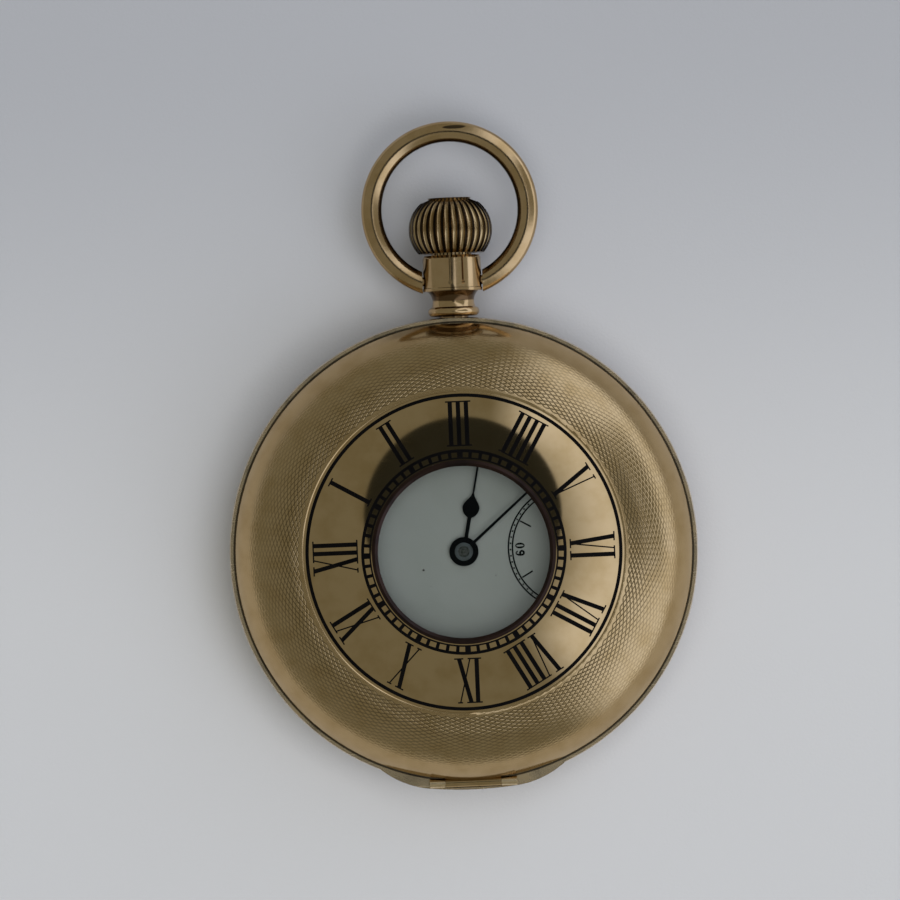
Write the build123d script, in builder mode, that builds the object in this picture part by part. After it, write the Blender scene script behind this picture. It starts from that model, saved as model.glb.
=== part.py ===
from build123d import *
import os
from math import atan2, cos, degrees, radians, sin, sqrt

# A gold half hunter pocket watch with a keyless hunter movement.
# It lies face up: Z points out of the dial, Y to the pendant at III, X to the seconds dial at VI.
# The origin is the middle of the flat cartouche that the back cover rests on. Sizes are millimetres.

# Case
case_radius = 25.0
band_crown = 0.15  # how far the band's wall bellies out
front_rim_inset = 0.7
back_rim_inset = 0.3
cover_wall = 0.5
lid_gap = 0.06
running_gap = 0.02
cut_overrun = 1.0

# Heights, stacked from the rest face up
back_flat_radius = 7.0
cuvette_gap = 0.6
cuvette_wall = 0.4
bridge_headroom = 1.1
bridge_thick = 1.2
train_room = 3.1
plate_thick = 1.5
motion_room = 1.2
dial_thick = 0.8
hand_clearance = 0.35
hand_thick = 0.15
crystal_gap = 0.35
crystal_thick = 0.55

z_cuvette = cover_wall + cuvette_gap
z_cuvette_in = z_cuvette + cuvette_wall
z_bridge = z_cuvette_in + bridge_headroom
z_bridge_in = z_bridge + bridge_thick
z_plate = z_bridge_in + train_room
z_plate_top = z_plate + plate_thick
z_dial_under = z_plate_top + motion_room
z_dial = z_dial_under + dial_thick
z_hour_hand = z_dial + hand_clearance
z_minute_hand = z_hour_hand + hand_thick + hand_clearance
z_post = z_minute_hand + 2 * hand_thick
z_crystal = z_post + crystal_gap
z_crystal_top = z_crystal + crystal_thick

# Band, with the shoulders that the covers close on and the collars that they snap round
band_wall = 1.35
back_shoulder = 0.1  # shoulder above the bridges' inner face
band_height = 4.0
front_collar_height = 1.0
back_collar_height = 0.9
front_collar_inset = 0.9
back_collar_inset = 1.8
flange_radius = 21.5
flange_thick = 0.5
flange_drop = 0.8  # underside of the plate's flange below its dial face
ledge_width = 0.75
ledge_thick = 0.6
seat_gap = 0.1
channel_floor = 0.7
back_collar_width = 1.6

z_band = z_bridge_in + back_shoulder
z_band_top = z_band + band_height
front_radius = case_radius - front_rim_inset
back_radius = case_radius - back_rim_inset
front_collar_radius = front_radius - front_collar_inset
back_collar_radius = back_radius - back_collar_inset
wall_inner_radius = case_radius - band_crown - band_wall
z_ledge = z_plate_top - flange_drop
ledge_radius = flange_radius - ledge_width
seat_radius = flange_radius + seat_gap

# Hinges at IX, opposite the pendant
hinge_pin_radius = 0.22
knuckle_radius = 0.5
knuckle_gap = 0.05
cover_knuckle = 5.9
band_knuckle = 1.65
front_hinge_reach = 0.3  # axis beyond the front cover's rim
back_hinge_reach = 0.12
bulge_foot = (9.8, -22.9)
bulge_shoulder = (7.7, -24.25)
bulge_edge = (4.9, -25.1)
bulge_height = 0.4
cuvette_knuckle_radius = 0.4
cuvette_knuckle = 4.0
cuvette_lug = 2.4

y_front_hinge = -(front_radius + front_hinge_reach)
y_back_hinge = -(back_radius + back_hinge_reach)
y_cuvette_hinge = -(back_collar_radius + cuvette_knuckle_radius + 2 * lid_gap)
z_cuvette_hinge = z_band - cuvette_knuckle_radius - lid_gap

# Back cover and cuvette, as radii and rises of their turned shapes
back_round_radius = 22.0
back_round_rise = 1.15
back_shoulder_radius = 23.85
back_shoulder_rise = 1.85
back_rim_rise = 3.0
cuvette_flat_radius = 12.0
cuvette_round_radius = 20.5
cuvette_round_rise = 0.65
cuvette_radius = 22.7
cuvette_rim_rise = 1.35
cuvette_rim_height = 0.5
cuvette_lug_reach = 0.15  # lug beyond the cuvette's hinge axis
case_screw_radius = 21.05
case_screw_head = 0.38
case_screw_shank = 0.2
case_screw_bearings = (65.0, 185.0, 305.0)

# Front cover: engine-turned dome, enamelled chapter zone and the window
window_radius = 9.1
window_frame = 0.65
chapter_radius = 17.0
chapter_sphere = 170.0
chapter_bead = 0.3
bead_height = 0.1
cover_headroom = 1.1  # chapter edge above the crystal's crown
rim_height = 0.5
enamel_depth = 0.12
window_thick = 0.6
window_seat = 0.35
window_sag = 0.25
frame_lip = 0.3
frame_skirt = 0.65
frame_crest = 0.08

z_chapter = z_crystal_top + cover_headroom
opening_radius = window_radius + window_frame
z_chapter_inner = z_chapter + (chapter_radius**2 - opening_radius**2) / (2 * chapter_sphere)
z_chapter_top = z_chapter + chapter_radius**2 / (2 * chapter_sphere)

# Chapter ring artwork in enamel: black outer line, Roman hours and the minute track
line_radius = 16.6
line_width = 0.36
numeral_outer = 16.0
numeral_inner = 11.2
thick_stroke = 0.46
thin_stroke = 0.15
serif_width = 0.26
stroke_pitch = 0.85
track_outer = 10.87
track_inner = 9.85
track_line = 0.17
track_rim = 0.32
block_gap = 0.36
hour_block_gap = 0.6

# Dial under the cover
dial_radius = 20.4
dial_numeral_outer = 16.9
dial_numeral_inner = 13.2
dial_track_outer = 18.9
dial_track_inner = 18.2
dial_line = 0.17
print_depth = 0.03
digit_height = 1.0
digit_width = 0.62
digit_stroke = 0.21
digit_gap = 0.16
digits_inset = 0.72  # digits inside the seconds rails
long_tick = 0.45
seconds_long_tick = 1.3
seconds_track_outer = 6.65
seconds_track_inner = 6.05
seconds_sink = 0.15
dial_hole_gap = 0.2

# Inner bezel and crystal
crystal_radius = 20.3
crystal_sag = 0.5
crystal_seat = 0.4
bezel_foot = 0.5
bezel_foot_inset = 0.4
bezel_waist = 2.0  # slope of the bezel in from its foot
bezel_rise = 2.4
bezel_wall = 0.3

# Pendant, bow and crown, on the stem's axis
stem_height = 1.4  # stem axis below the plate's back face
pendant_bore = 1.3
pendant_root = 1.58
bead_radius = 2.75
neck_radius = 2.35
collar_radius = 3.1
collar_bore = 2.3
pendant_start = 0.1
bead_length = 1.0
neck_length = 1.7
collar_length = 3.8
collar_lip = 0.06
bow_radius = 8.35
bow_width = 2.2
bow_thick = 1.75
bow_centre_rise = 7.6  # bow centre beyond its pivots
bow_pin_radius = 0.5
bow_pin_length = 0.55
bow_gap = 0.1
bow_pivot_rise = 1.1  # pivots beyond the collar's foot
crown_radius = 4.45
crown_height = 5.9
crown_foot_radius = 3.5
crown_top_radius = 2.3
crown_gap = 0.25
crown_hub_radius = 2.15
crown_hub_length = 2.2
crown_flutes = 32
flute_radius = 0.3
stem_radius = 0.7
square_side = 0.9
crown_travel_in = 0.2
sleeve_outer = 1.25
sleeve_inner = 0.85

z_stem = z_plate - stem_height
y_bead = case_radius + pendant_start
y_neck = y_bead + bead_length
y_collar = y_neck + neck_length
y_collar_end = y_collar + collar_length
y_bow_pivot = y_collar + bow_pivot_rise
y_bow = y_bow_pivot + bow_centre_rise
y_crown = y_collar_end + crown_gap
y_crown_end = y_crown + crown_height
crown_mid_share = 0.45
pendant_shoulder = 0.3
pendant_seat = 1.5  # length of the root inside the band
collar_floor = 0.4
neck_waist = 0.1
slit_width = 0.2
slit_depth = 0.45
slit_eye = 0.22
slit_bearings = (94.0, 69.0)  # round the collar from the watch's +X
bow_end_angle = 17.0  # before the ends are cut flush with the collar
crown_grip = 2.0
sleeve_reach = 22.75

# Springs that catch and lift the front cover, in the band's channel
spring_outer = 22.6
spring_width = 0.6
spring_floor_gap = 0.05
spring_height = 2.1
spring_eye_radius = 1.0
spring_eye_thick = 0.5
spring_screw_radius = 0.35
spring_screw_head = 0.75
spring_screw_depth = 0.9
lock_pivot_bearing = 37.0
lock_end_bearing = 98.0
lift_screw_bearing = 222.0
lift_end_bearing = 258.0
stem_window_width = 2.3
stem_window_height = 1.6

# Wheels of the movement. A module is pitch diameter over teeth.
addendum_share = 0.8
dedendum_share = 1.1
tip_width_share = 0.2
root_width_share = 0.56
wheel_thick = 0.3
arbor_radius = 0.32
pivot_radius = 0.13
end_shake = 0.05
jewel_radius = 0.55
jewel_thick = 0.5
barrel_module = 0.22
barrel_teeth = 80
centre_leaves = 10
centre_module = 0.16
centre_teeth = 80
third_leaves = 10
third_module = 0.14
third_teeth = 75
fourth_leaves = 10
fourth_module = 0.12
fourth_teeth = 80
escape_leaves = 8
escape_teeth = 15
escape_radius = 4.0
motion_module = 0.2
cannon_leaves = 12
minute_teeth = 36
minute_leaves = 10
hour_teeth = 40
winding_module = 0.25
crown_wheel_teeth = 32
ratchet_teeth = 44
winding_teeth = 18
barrel_bearing = 150.0  # degrees from X
minute_bearing = 115.0
escape_bearing = -78.0

cannon_tube = 0.6
cannon_post = 0.35
hour_tube = 0.9
hour_module = 0.192
minute_wheel_thick = 0.4
hour_wheel_lift = 0.65
setting_teeth = 20
setting_module = 0.2
setting_x = -0.1
rim_share = 0.16  # a wheel's rim as a share of its pitch radius
arm_share = 0.09
wheel_arms = 5

# Hands
hand_hub = 1.55
hand_eye = 1.05
hand_cap = 0.85
hand_cap_height = 0.1
hour_stem_width = 0.4
spade_start = 3.66
spade_widest = 4.78
spade_half_width = 0.9
spade_point = 6.6
outer_spade_start = 9.2
outer_spade_widest = 10.5
outer_spade_half_width = 1.15
hour_tip = 12.9
needle_width = 0.22
spade_shares = (0.86, 0.42)  # of its half width, short of its widest place and past it
minute_width = 0.34
minute_tip_width = 0.16
minute_tip = 17.0
seconds_tip = 5.9
seconds_tail = 1.9
seconds_hub = 0.5
seconds_width = 0.14
seconds_lift = 0.08
seconds_thick = 0.12
hour_step = 360 / 12  # degrees
hour_angle = 90 - 11.6  # bearings of the hands at about 3:23
minute_angle = 90 - 49.2
seconds_angle = 0.0

# Plate and bridges
plate_radius = 20.6
dial_seat_width = 0.6
bridge_radius = 20.2
bridge_gap = 0.3
foot_width = 1.1
recess_gap = 0.15
recess_depth = 0.65
winding_wheel_thick = 0.6
screw_head = 0.75
screw_head_height = 0.3
screw_shank = 0.35
screw_slot = 0.14
screw_depth = 1.2

# Places of the arbors
seconds_offset = 11.3
balance_x = 6.0
balance_y = -11.5
pallet_reach = 4.62
dial_feet_radius = 19.0
dial_feet_bearings = (60.0, 250.0)
dial_foot = 0.4
dial_foot_depth = 1.2  # into the plate

# Levels of the train, above the bridges' inner face
barrel_rise = 0.2
barrel_toothed = 0.6
drum_height = 1.35
drum_radius = 8.5
drum_wall = 0.3
lid_thick = 0.25
barrel_core = 1.9
barrel_arbor_radius = 0.9
barrel_pivot = 0.6
centre_pinion_rise = 0.15
centre_pinion_height = 0.8
centre_wheel_rise = 2.5
third_wheel_rise = 1.35
third_wheel_thick = 0.25
third_pinion_rise = 2.4
pinion_height = 0.55
fourth_wheel_rise = 0.6
fourth_pinion_rise = 1.2
escape_pinion_rise = 0.5
escape_pinion_height = 0.5
escape_wheel_rise = 2.35
escape_wheel_thick = 0.25
pivot_length = 0.4
seconds_arbor = 0.22
coil_pitch = 0.72
coil_thick = 0.22
mainspring_turns = 7

# Escapement and balance
escape_root_share = 0.84
escape_lean = 7.0  # degrees that a tooth's tip leans ahead of its root
escape_tip_width = 2.4  # degrees
stone_angle = 30.0
stone_gap = 0.22
stone_length = 0.7
stone_width = 0.28
fork_arm = 0.34
fork_reach = 2.85
fork_horn = 0.5
pallet_hub = 0.44
fork_slot = 0.32
pallet_bridge_thick = 0.4
pallet_bridge_lift = 1.0  # plate's back face to the bridge
pallet_foot_reach = 3.45
pallet_foot_radius = 0.6
rim_outer = 6.65
rim_inner = 6.0
rim_rise = 0.3
rim_thick = 0.8
balance_arm_rise = 0.55
balance_arm_thick = 0.3
balance_arm_width = 0.9
balance_screws = 14
balance_screw_radius = 0.28
balance_screw_reach = 0.45
balance_hub = 1.0
roller_rise = 1.95
roller_thick = 0.2
roller_radius = 1.05
roller_pin_at = 0.78
roller_pin_radius = 0.12
cock_back = 0.3  # back face of the cock beyond the bridges'
cock_thick = 1.0
cock_head = 2.0
cock_foot_bearings = (-150.0, -118.0)
cock_foot_inner = 15.5
hairspring_rise = 0.3  # below the bridges' inner face
hairspring_height = 0.3
hairspring_pitch = 0.56
hairspring_thick = 0.1
hairspring_inner = 1.1
hairspring_turns = 5
stud_size = 0.5
regulator_thick = 0.22
regulator_width = 0.5
regulator_tail = 6.0
regulator_ring = 1.3

# Bridges' outlines: the barrel bridge above this line of corners, the train bridge below it
bridge_line = ((-21.0, -9.0), (-4.0, -5.6), (1.8, -2.4), (6.5, 2.6), (21.0, 8.5))
train_corners = ((21.0, -15.0), (13.0, -13.5))
barrel_feet = ((28.0, 76.0), (104.0, 200.0))
train_feet = ((-34.0, 14.0),)
train_foot_inner = 17.9
barrel_foot_inner = 19.2
balance_well = 7.45
slot_margin = 0.2

# Keyless work
winding_pinion_start = 12.78
winding_pinion_length = 1.12
clutch_start = 10.15
clutch_length = 2.4
clutch_radius = 1.6
clutch_neck = 1.15
clutch_groove_share = 0.35
square_clearance = 0.04
stem_start = 7.6
square_end = 12.6
click_reach = 7.35
click_bearing = -78.0
click_radius = 0.8
click_nose = 0.22
click_swing = 16.0
click_well = 0.35
click_spring_width = 0.1
click_spring_anchor = 0.5
click_anchor_offset = (-3.2, -2.3)
click_touch = 0.25
arbor_square = 1.2
lever_corners = ((1.9, 11.0), (3.4, 10.2), (6.2, 12.6), (5.6, 14.6), (3.2, 13.6))
lever_thick = 0.5
lever_screw_at = (4.9, 13.2)
plate_screw_lift = 0.05
plate_screw_ring = 19.7
train_screw_ring = 19.0
cock_screw_ring = 17.6

os.makedirs("parts", exist_ok=True)


def save(part, name):
    """Labels a finished piece and writes it under its own name."""
    part.label = name
    export_step(part, f"parts/{name}.step")


def polar(radius, bearing, centre=(0, 0)):
    """A point at a radius and a bearing in degrees from a centre."""
    return (centre[0] + radius * cos(radians(bearing)), centre[1] + radius * sin(radians(bearing)))


def turned(outline):
    """A solid turned about the dial's axis from a closed outline of (radius, height) points."""
    with BuildPart() as body:
        with BuildSketch(Plane.XZ):
            with BuildLine():
                Polyline(*outline, close=True)
            make_face()
        revolve(axis=Axis.Z)
    return body.part


def disc(radius, bottom, height, centre=(0, 0)):
    """A round boss or a cutter for a round hole, upright at a centre."""
    with BuildPart() as body:
        with BuildSketch(Plane.XY.offset(bottom)):
            with Locations(centre):
                Circle(radius)
        extrude(amount=height)
    return body.part


def ring(outer, inner, bottom, height, centre=(0, 0)):
    """An upright washer at a centre."""
    with BuildPart() as body:
        with BuildSketch(Plane.XY.offset(bottom)):
            with Locations(centre):
                Circle(outer)
                Circle(inner, mode=Mode.SUBTRACT)
        extrude(amount=height)
    return body.part


def bar_along_x(radius, length, y, z, middle=0.0):
    """A round bar along X, centred at middle."""
    with BuildPart() as body:
        with BuildSketch(Plane.YZ.offset(middle - length / 2)):
            with Locations((y, z)):
                Circle(radius)
        extrude(amount=length)
    return body.part


def bar_along_y(radius, start, end, x=0.0, z=z_stem):
    """A round bar along Y from start to end, at the stem's height unless told otherwise."""
    with BuildPart() as body:
        with BuildSketch(Plane.XZ.offset(-end)):
            with Locations((x, z)):
                Circle(radius)
        extrude(amount=end - start)
    return body.part


def gear_points(module, teeth, tooth_bearing, centre=(0, 0)):
    """Four points for each tooth of a wheel or pinion that has a tooth at tooth_bearing."""
    pitch_radius = module * teeth / 2
    tip = pitch_radius + addendum_share * module
    root = pitch_radius - dedendum_share * module
    points = []
    for tooth in range(teeth):
        bearing = tooth_bearing + 360 * tooth / teeth
        for radius, share in ((root, -root_width_share), (tip, -tip_width_share),
                              (tip, tip_width_share), (root, root_width_share)):
            points.append(polar(radius, bearing + share * 180 / teeth, centre))
    return points


def gear(module, teeth, tooth_bearing, bottom, height, centre=(0, 0)):
    """A solid toothed disc."""
    with BuildPart() as body:
        with BuildSketch(Plane.XY.offset(bottom)):
            with BuildLine():
                Polyline(*gear_points(module, teeth, tooth_bearing, centre), close=True)
            make_face()
        extrude(amount=height)
    return body.part


# Outlines of the front cover, from the rim to the chapter zone
front_rim_top = z_band_top + rim_height
dome_mid_share = (0.3, 0.6)  # the dome's middle point: share of its run and of its rise
dome_run = front_radius - chapter_radius
dome_rise = z_chapter - front_rim_top
dome_middle = (front_radius - dome_mid_share[0] * dome_run, front_rim_top + dome_mid_share[1] * dome_rise)
inner_dome_middle = (dome_middle[0] - cover_wall * sqrt(0.5), dome_middle[1] - cover_wall * sqrt(0.5))


def front_shell():
    """The front cover's shell: a turned dome with a shallow round crown and the window's opening."""
    z_rim = z_band_top + lid_gap
    mid_radius = (chapter_radius + opening_radius) / 2
    mid_height = z_chapter_top - mid_radius**2 / (2 * chapter_sphere)
    bead_end = chapter_radius + chapter_bead
    with BuildPart() as shell:
        with BuildSketch(Plane.XZ):
            with BuildLine():
                Line((front_radius - cover_wall, z_rim), (front_radius, z_rim))
                Line((front_radius, z_rim), (front_radius, front_rim_top))
                ThreePointArc((front_radius, front_rim_top), dome_middle, (bead_end, z_chapter))
                ThreePointArc((bead_end, z_chapter),
                              (chapter_radius + chapter_bead / 2, z_chapter + bead_height),
                              (chapter_radius, z_chapter))
                ThreePointArc((chapter_radius, z_chapter), (mid_radius, mid_height),
                              (opening_radius, z_chapter_inner))
                Line((opening_radius, z_chapter_inner), (opening_radius, z_chapter_inner - cover_wall))
                ThreePointArc((opening_radius, z_chapter_inner - cover_wall),
                              (mid_radius, mid_height - cover_wall),
                              (chapter_radius, z_chapter - cover_wall))
                ThreePointArc((chapter_radius, z_chapter - cover_wall), inner_dome_middle,
                              (front_radius - cover_wall, front_rim_top))
                Line((front_radius - cover_wall, front_rim_top), (front_radius - cover_wall, z_rim))
            make_face()
        revolve(axis=Axis.Z)
    return shell.part


def crown_layer(rise=0):
    """The top skin of the chapter zone, as deep as the enamel is laid and as high as rise above it."""
    mid_radius = (chapter_radius + opening_radius) / 2
    with BuildPart() as layer:
        with BuildSketch(Plane.XZ):
            with BuildLine():
                for lift in (rise, -enamel_depth):
                    mid_height = z_chapter_top - mid_radius**2 / (2 * chapter_sphere) + lift
                    ThreePointArc((chapter_radius, z_chapter + lift), (mid_radius, mid_height),
                                  (opening_radius, z_chapter_inner + lift))
                Line((chapter_radius, z_chapter + rise), (chapter_radius, z_chapter - enamel_depth))
                Line((opening_radius, z_chapter_inner + rise),
                     (opening_radius, z_chapter_inner - enamel_depth))
            make_face()
        revolve(axis=Axis.Z)
    return layer.part


# Roman numerals: each stroke runs from foot to top, as (kind, left at foot, left at top) in strokes' pitches
numeral_strokes = {
    "I": ((("thick", 0, 0),), 1),
    "V": ((("thick", -0.75, 0), ("thin", 0.75, 0)), 2),
    "X": ((("thick", -0.7, 0.7), ("thin", 0.7, -0.7)), 2),
}
hours = ("XII", "I", "II", "III", "IIII", "V", "VI", "VII", "VIII", "IX", "X", "XI")


def stroke_points(kind, top_offset, foot_offset, inner, outer, scale, frame):
    """The four corners of one slanted stroke, placed by its local frame."""
    half = (thick_stroke if kind == "thick" else thin_stroke) * scale / 2
    corners = ((foot_offset - half, inner), (foot_offset + half, inner),
               (top_offset + half, outer), (top_offset - half, outer))
    return [place(corner, frame) for corner in corners]


def place(corner, bearing):
    """Turns a (right, outward) pair into X and Y on the radius at bearing."""
    across, out = corner
    along = (cos(radians(bearing)), sin(radians(bearing)))
    return (out * along[0] + across * along[1], out * along[1] - across * along[0])


def numeral_shapes(text, bearing, inner, outer, scale):
    """The outlines of a numeral's strokes and serifs, its feet to the dial's middle."""
    pitch = stroke_pitch * scale
    widths = [numeral_strokes[letter][1] * pitch for letter in text]
    left = -sum(widths) / 2
    serif_half = serif_width * scale
    foot = inner + thin_stroke * scale
    head = outer - thin_stroke * scale
    shapes = []
    for letter, width in zip(text, widths):
        middle = left + width / 2
        left += width
        for kind, top_share, foot_share in numeral_strokes[letter][0]:
            top = middle + top_share * pitch
            base = middle + foot_share * pitch
            shapes.append(stroke_points(kind, top, base, inner, outer, scale, bearing))
            grip = serif_half + (thick_stroke * scale / 2 if kind == "thick" else 0)
            for offset, low, high in ((top, head, outer), (base, inner, foot)):
                corners = ((offset - grip, low), (offset + grip, low), (offset + grip, high),
                           (offset - grip, high))
                shapes.append([place(corner, bearing) for corner in corners])
    return shapes


def numeral_ring(inner, outer, scale, plane, depth, without=""):
    """The hours as solids from plane upward; XII stands at -X, opposite the seconds dial."""
    with BuildPart() as numerals:
        for hour, text in enumerate(hours):
            if text == without:
                continue
            with BuildSketch(plane):
                for points in numeral_shapes(text, 180 - hour_step * hour, inner, outer, scale):
                    with BuildLine():
                        Polyline(*points, close=True)
                    make_face()
            extrude(amount=depth)
    return numerals.part


# Front cover
outer_knuckle_middle = cover_knuckle / 2 + knuckle_gap + band_knuckle / 2
pin_length = cover_knuckle + 2 * (band_knuckle + knuckle_gap)
artwork_height = z_chapter_top - z_chapter + 2 * enamel_depth + cut_overrun
artwork_plane = Plane.XY.offset(z_chapter - 2 * enamel_depth)


def track_artwork():
    """The outer line and the minute track, its blocks left open, as a tall prism."""
    blocks = 60
    inner = track_inner + track_line
    outer = track_outer - track_rim
    with BuildPart() as prism:
        with BuildSketch(artwork_plane):
            Circle(line_radius + line_width / 2)
            Circle(line_radius - line_width / 2, mode=Mode.SUBTRACT)
            Circle(track_outer)
            Circle(track_inner, mode=Mode.SUBTRACT)
            for block in range(blocks):
                edges = []
                for side in (0, 1):
                    gap = hour_block_gap if (block + side) % 5 == 0 else block_gap
                    turn = degrees(gap / (inner + outer))
                    edges.append(360 * (block + side) / blocks + (turn if side == 0 else -turn))
                with BuildLine():
                    Polyline(polar(inner, edges[0]), polar(outer, edges[0]),
                             polar(outer, edges[1]), polar(inner, edges[1]), close=True)
                make_face(mode=Mode.SUBTRACT)
        extrude(amount=artwork_height)
    return prism.part


def skin_of(prism, rise=0):
    """The part of a prism that lies in the top skin of the chapter zone."""
    with BuildPart() as skin:
        add(prism)
        add(crown_layer(rise), mode=Mode.INTERSECT)
    return skin.part


numeral_prism = numeral_ring(numeral_inner, numeral_outer, 1.0, artwork_plane, artwork_height)
track_prism = track_artwork()
save(skin_of(numeral_prism), "chapter_numerals")
save(skin_of(track_prism), "chapter_track")

with BuildPart() as front_cover:
    add(front_shell())
    add(bar_along_x(knuckle_radius, cover_knuckle, y_front_hinge, z_band_top))
    add(bar_along_x(hinge_pin_radius + running_gap, pin_length, y_front_hinge, z_band_top),
        mode=Mode.SUBTRACT)
    for side in (-1, 1):
        add(bar_along_x(knuckle_radius + lid_gap, band_knuckle + 2 * knuckle_gap, y_front_hinge, z_band_top,
                        side * outer_knuckle_middle), mode=Mode.SUBTRACT)
    add(skin_of(numeral_prism, cut_overrun / 2), mode=Mode.SUBTRACT)
    add(skin_of(track_prism, cut_overrun / 2), mode=Mode.SUBTRACT)
save(front_cover.part, "front_cover")

# Window in the front cover
z_frame_lip = z_chapter_inner - frame_lip
z_frame_foot = z_chapter_inner - frame_lip - frame_skirt
window_bezel = turned([
    (opening_radius, z_frame_foot), (opening_radius, z_chapter_inner),
    (opening_radius - window_frame / 2, z_chapter_inner + frame_crest),
    (window_radius, z_chapter_inner - frame_lip / 2), (window_radius, z_frame_lip),
    (window_radius + window_seat, z_frame_lip), (window_radius + window_seat, z_frame_foot),
])
save(window_bezel, "window_bezel")


def domed_glass(radius, edge_bottom, thickness, sag):
    """A round glass of even thickness, domed up by sag."""
    with BuildPart() as glass:
        with BuildSketch(Plane.XZ):
            with BuildLine():
                ball = (radius**2 + sag**2) / (2 * sag)
                half = radius / 2
                half_rise = sag - ball + sqrt(ball**2 - half**2)
                ThreePointArc((0, edge_bottom + sag), (half, edge_bottom + half_rise), (radius, edge_bottom))
                Line((radius, edge_bottom), (radius, edge_bottom + thickness))
                ThreePointArc((radius, edge_bottom + thickness), (half, edge_bottom + half_rise + thickness),
                              (0, edge_bottom + sag + thickness))
                Line((0, edge_bottom + sag + thickness), (0, edge_bottom + sag))
            make_face()
        revolve(axis=Axis.Z)
    return glass.part


window_glass = domed_glass(window_radius + window_seat - running_gap,
                           z_frame_lip - running_gap - window_thick, window_thick, window_sag)
save(window_glass, "window_glass")

# Inner bezel and crystal over the dial
z_bezel_foot = z_band_top + front_collar_height
z_crystal_edge = z_crystal - crystal_sag
bezel_outer = front_collar_radius - bezel_foot_inset
bezel_top = crystal_radius + bezel_wall
inner_bezel = turned([
    (seat_radius - bezel_wall, z_bezel_foot), (bezel_outer, z_bezel_foot),
    (bezel_outer, z_bezel_foot + bezel_foot), (bezel_outer - bezel_waist, z_bezel_foot + bezel_rise),
    (bezel_top, z_crystal_edge + bezel_wall), (crystal_radius + running_gap, z_crystal_edge + bezel_wall),
    (crystal_radius + running_gap, z_crystal_edge - running_gap),
    (crystal_radius - crystal_seat, z_crystal_edge - running_gap),
    (crystal_radius - crystal_seat, z_crystal_edge - bezel_wall),
    (seat_radius - bezel_wall, z_bezel_foot + 2 * bezel_foot),
])
save(inner_bezel, "inner_bezel")
save(domed_glass(crystal_radius, z_crystal_edge, crystal_thick, crystal_sag), "inner_crystal")

# Case band
bulge_y = -(case_radius + bulge_height)


def bulge_outline():
    """The band's outline where it swells round the hinges, closed across the case."""
    points = (bulge_foot, bulge_shoulder, bulge_edge)
    mirrored = [(-x, y) for x, y in points]
    with BuildSketch() as face:
        with BuildLine():
            ThreePointArc(*points)
            ThreePointArc(bulge_edge, (0, bulge_y), mirrored[-1])
            ThreePointArc(*reversed(mirrored))
            Line(mirrored[0], bulge_foot)
        make_face()
    return face.sketch
z_channel = z_band + channel_floor
z_ledge_foot = z_ledge - ledge_thick
z_back_collar = z_band - back_collar_height
channel_inner = back_collar_radius - back_collar_width


def band_ring():
    """The turned band: bellied wall, front collar, ledge for the movement, spring channel, back collar."""
    corners = [
        (back_collar_radius, z_back_collar), (back_collar_radius, z_band), (case_radius - band_crown, z_band),
    ]
    more = [
        (case_radius - band_crown, z_band_top), (front_collar_radius, z_band_top),
        (front_collar_radius, z_bezel_foot), (seat_radius, z_bezel_foot), (seat_radius, z_ledge),
        (ledge_radius, z_ledge), (ledge_radius, z_ledge_foot), (wall_inner_radius, z_ledge_foot),
        (wall_inner_radius, z_channel), (channel_inner, z_channel), (channel_inner, z_back_collar),
        (back_collar_radius, z_back_collar),
    ]
    with BuildPart() as ring_part:
        with BuildSketch(Plane.XZ):
            with BuildLine():
                Polyline(*corners)
                ThreePointArc(corners[-1], (case_radius, (z_band + z_band_top) / 2), more[0])
                Polyline(*more)
            make_face()
        revolve(axis=Axis.Z)
    return ring_part.part


def arc_strip(outer, width, start, end, bottom, height):
    """A strip bent round the case's axis, from bearing start to bearing end."""
    inner = outer - width
    middle = (start + end) / 2
    with BuildPart() as strip:
        with BuildSketch(Plane.XY.offset(bottom)):
            with BuildLine():
                ThreePointArc(polar(outer, start), polar(outer, middle), polar(outer, end))
                Line(polar(outer, end), polar(inner, end))
                ThreePointArc(polar(inner, end), polar(inner, middle), polar(inner, start))
                Line(polar(inner, start), polar(outer, start))
            make_face()
        extrude(amount=height)
    return strip.part


def block(x_size, y_low, y_high, z_low, z_high, x_middle=0.0):
    """An upright block, centred across on x_middle."""
    with BuildPart() as body:
        with BuildSketch(Plane.XY.offset(z_low)):
            with Locations((x_middle, (y_low + y_high) / 2)):
                Rectangle(x_size, y_high - y_low)
        extrude(amount=z_high - z_low)
    return body.part


spring_eye = spring_outer - spring_eye_radius
spring_places = [polar(spring_eye, lock_pivot_bearing), polar(spring_eye, lift_screw_bearing)]
case_screw_places = [polar(case_screw_radius, bearing) for bearing in case_screw_bearings]
cuvette_side_middle = cuvette_knuckle / 2 + knuckle_gap + cuvette_lug / 2
cuvette_pin_length = cuvette_knuckle + 2 * (cuvette_lug + knuckle_gap)

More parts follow.
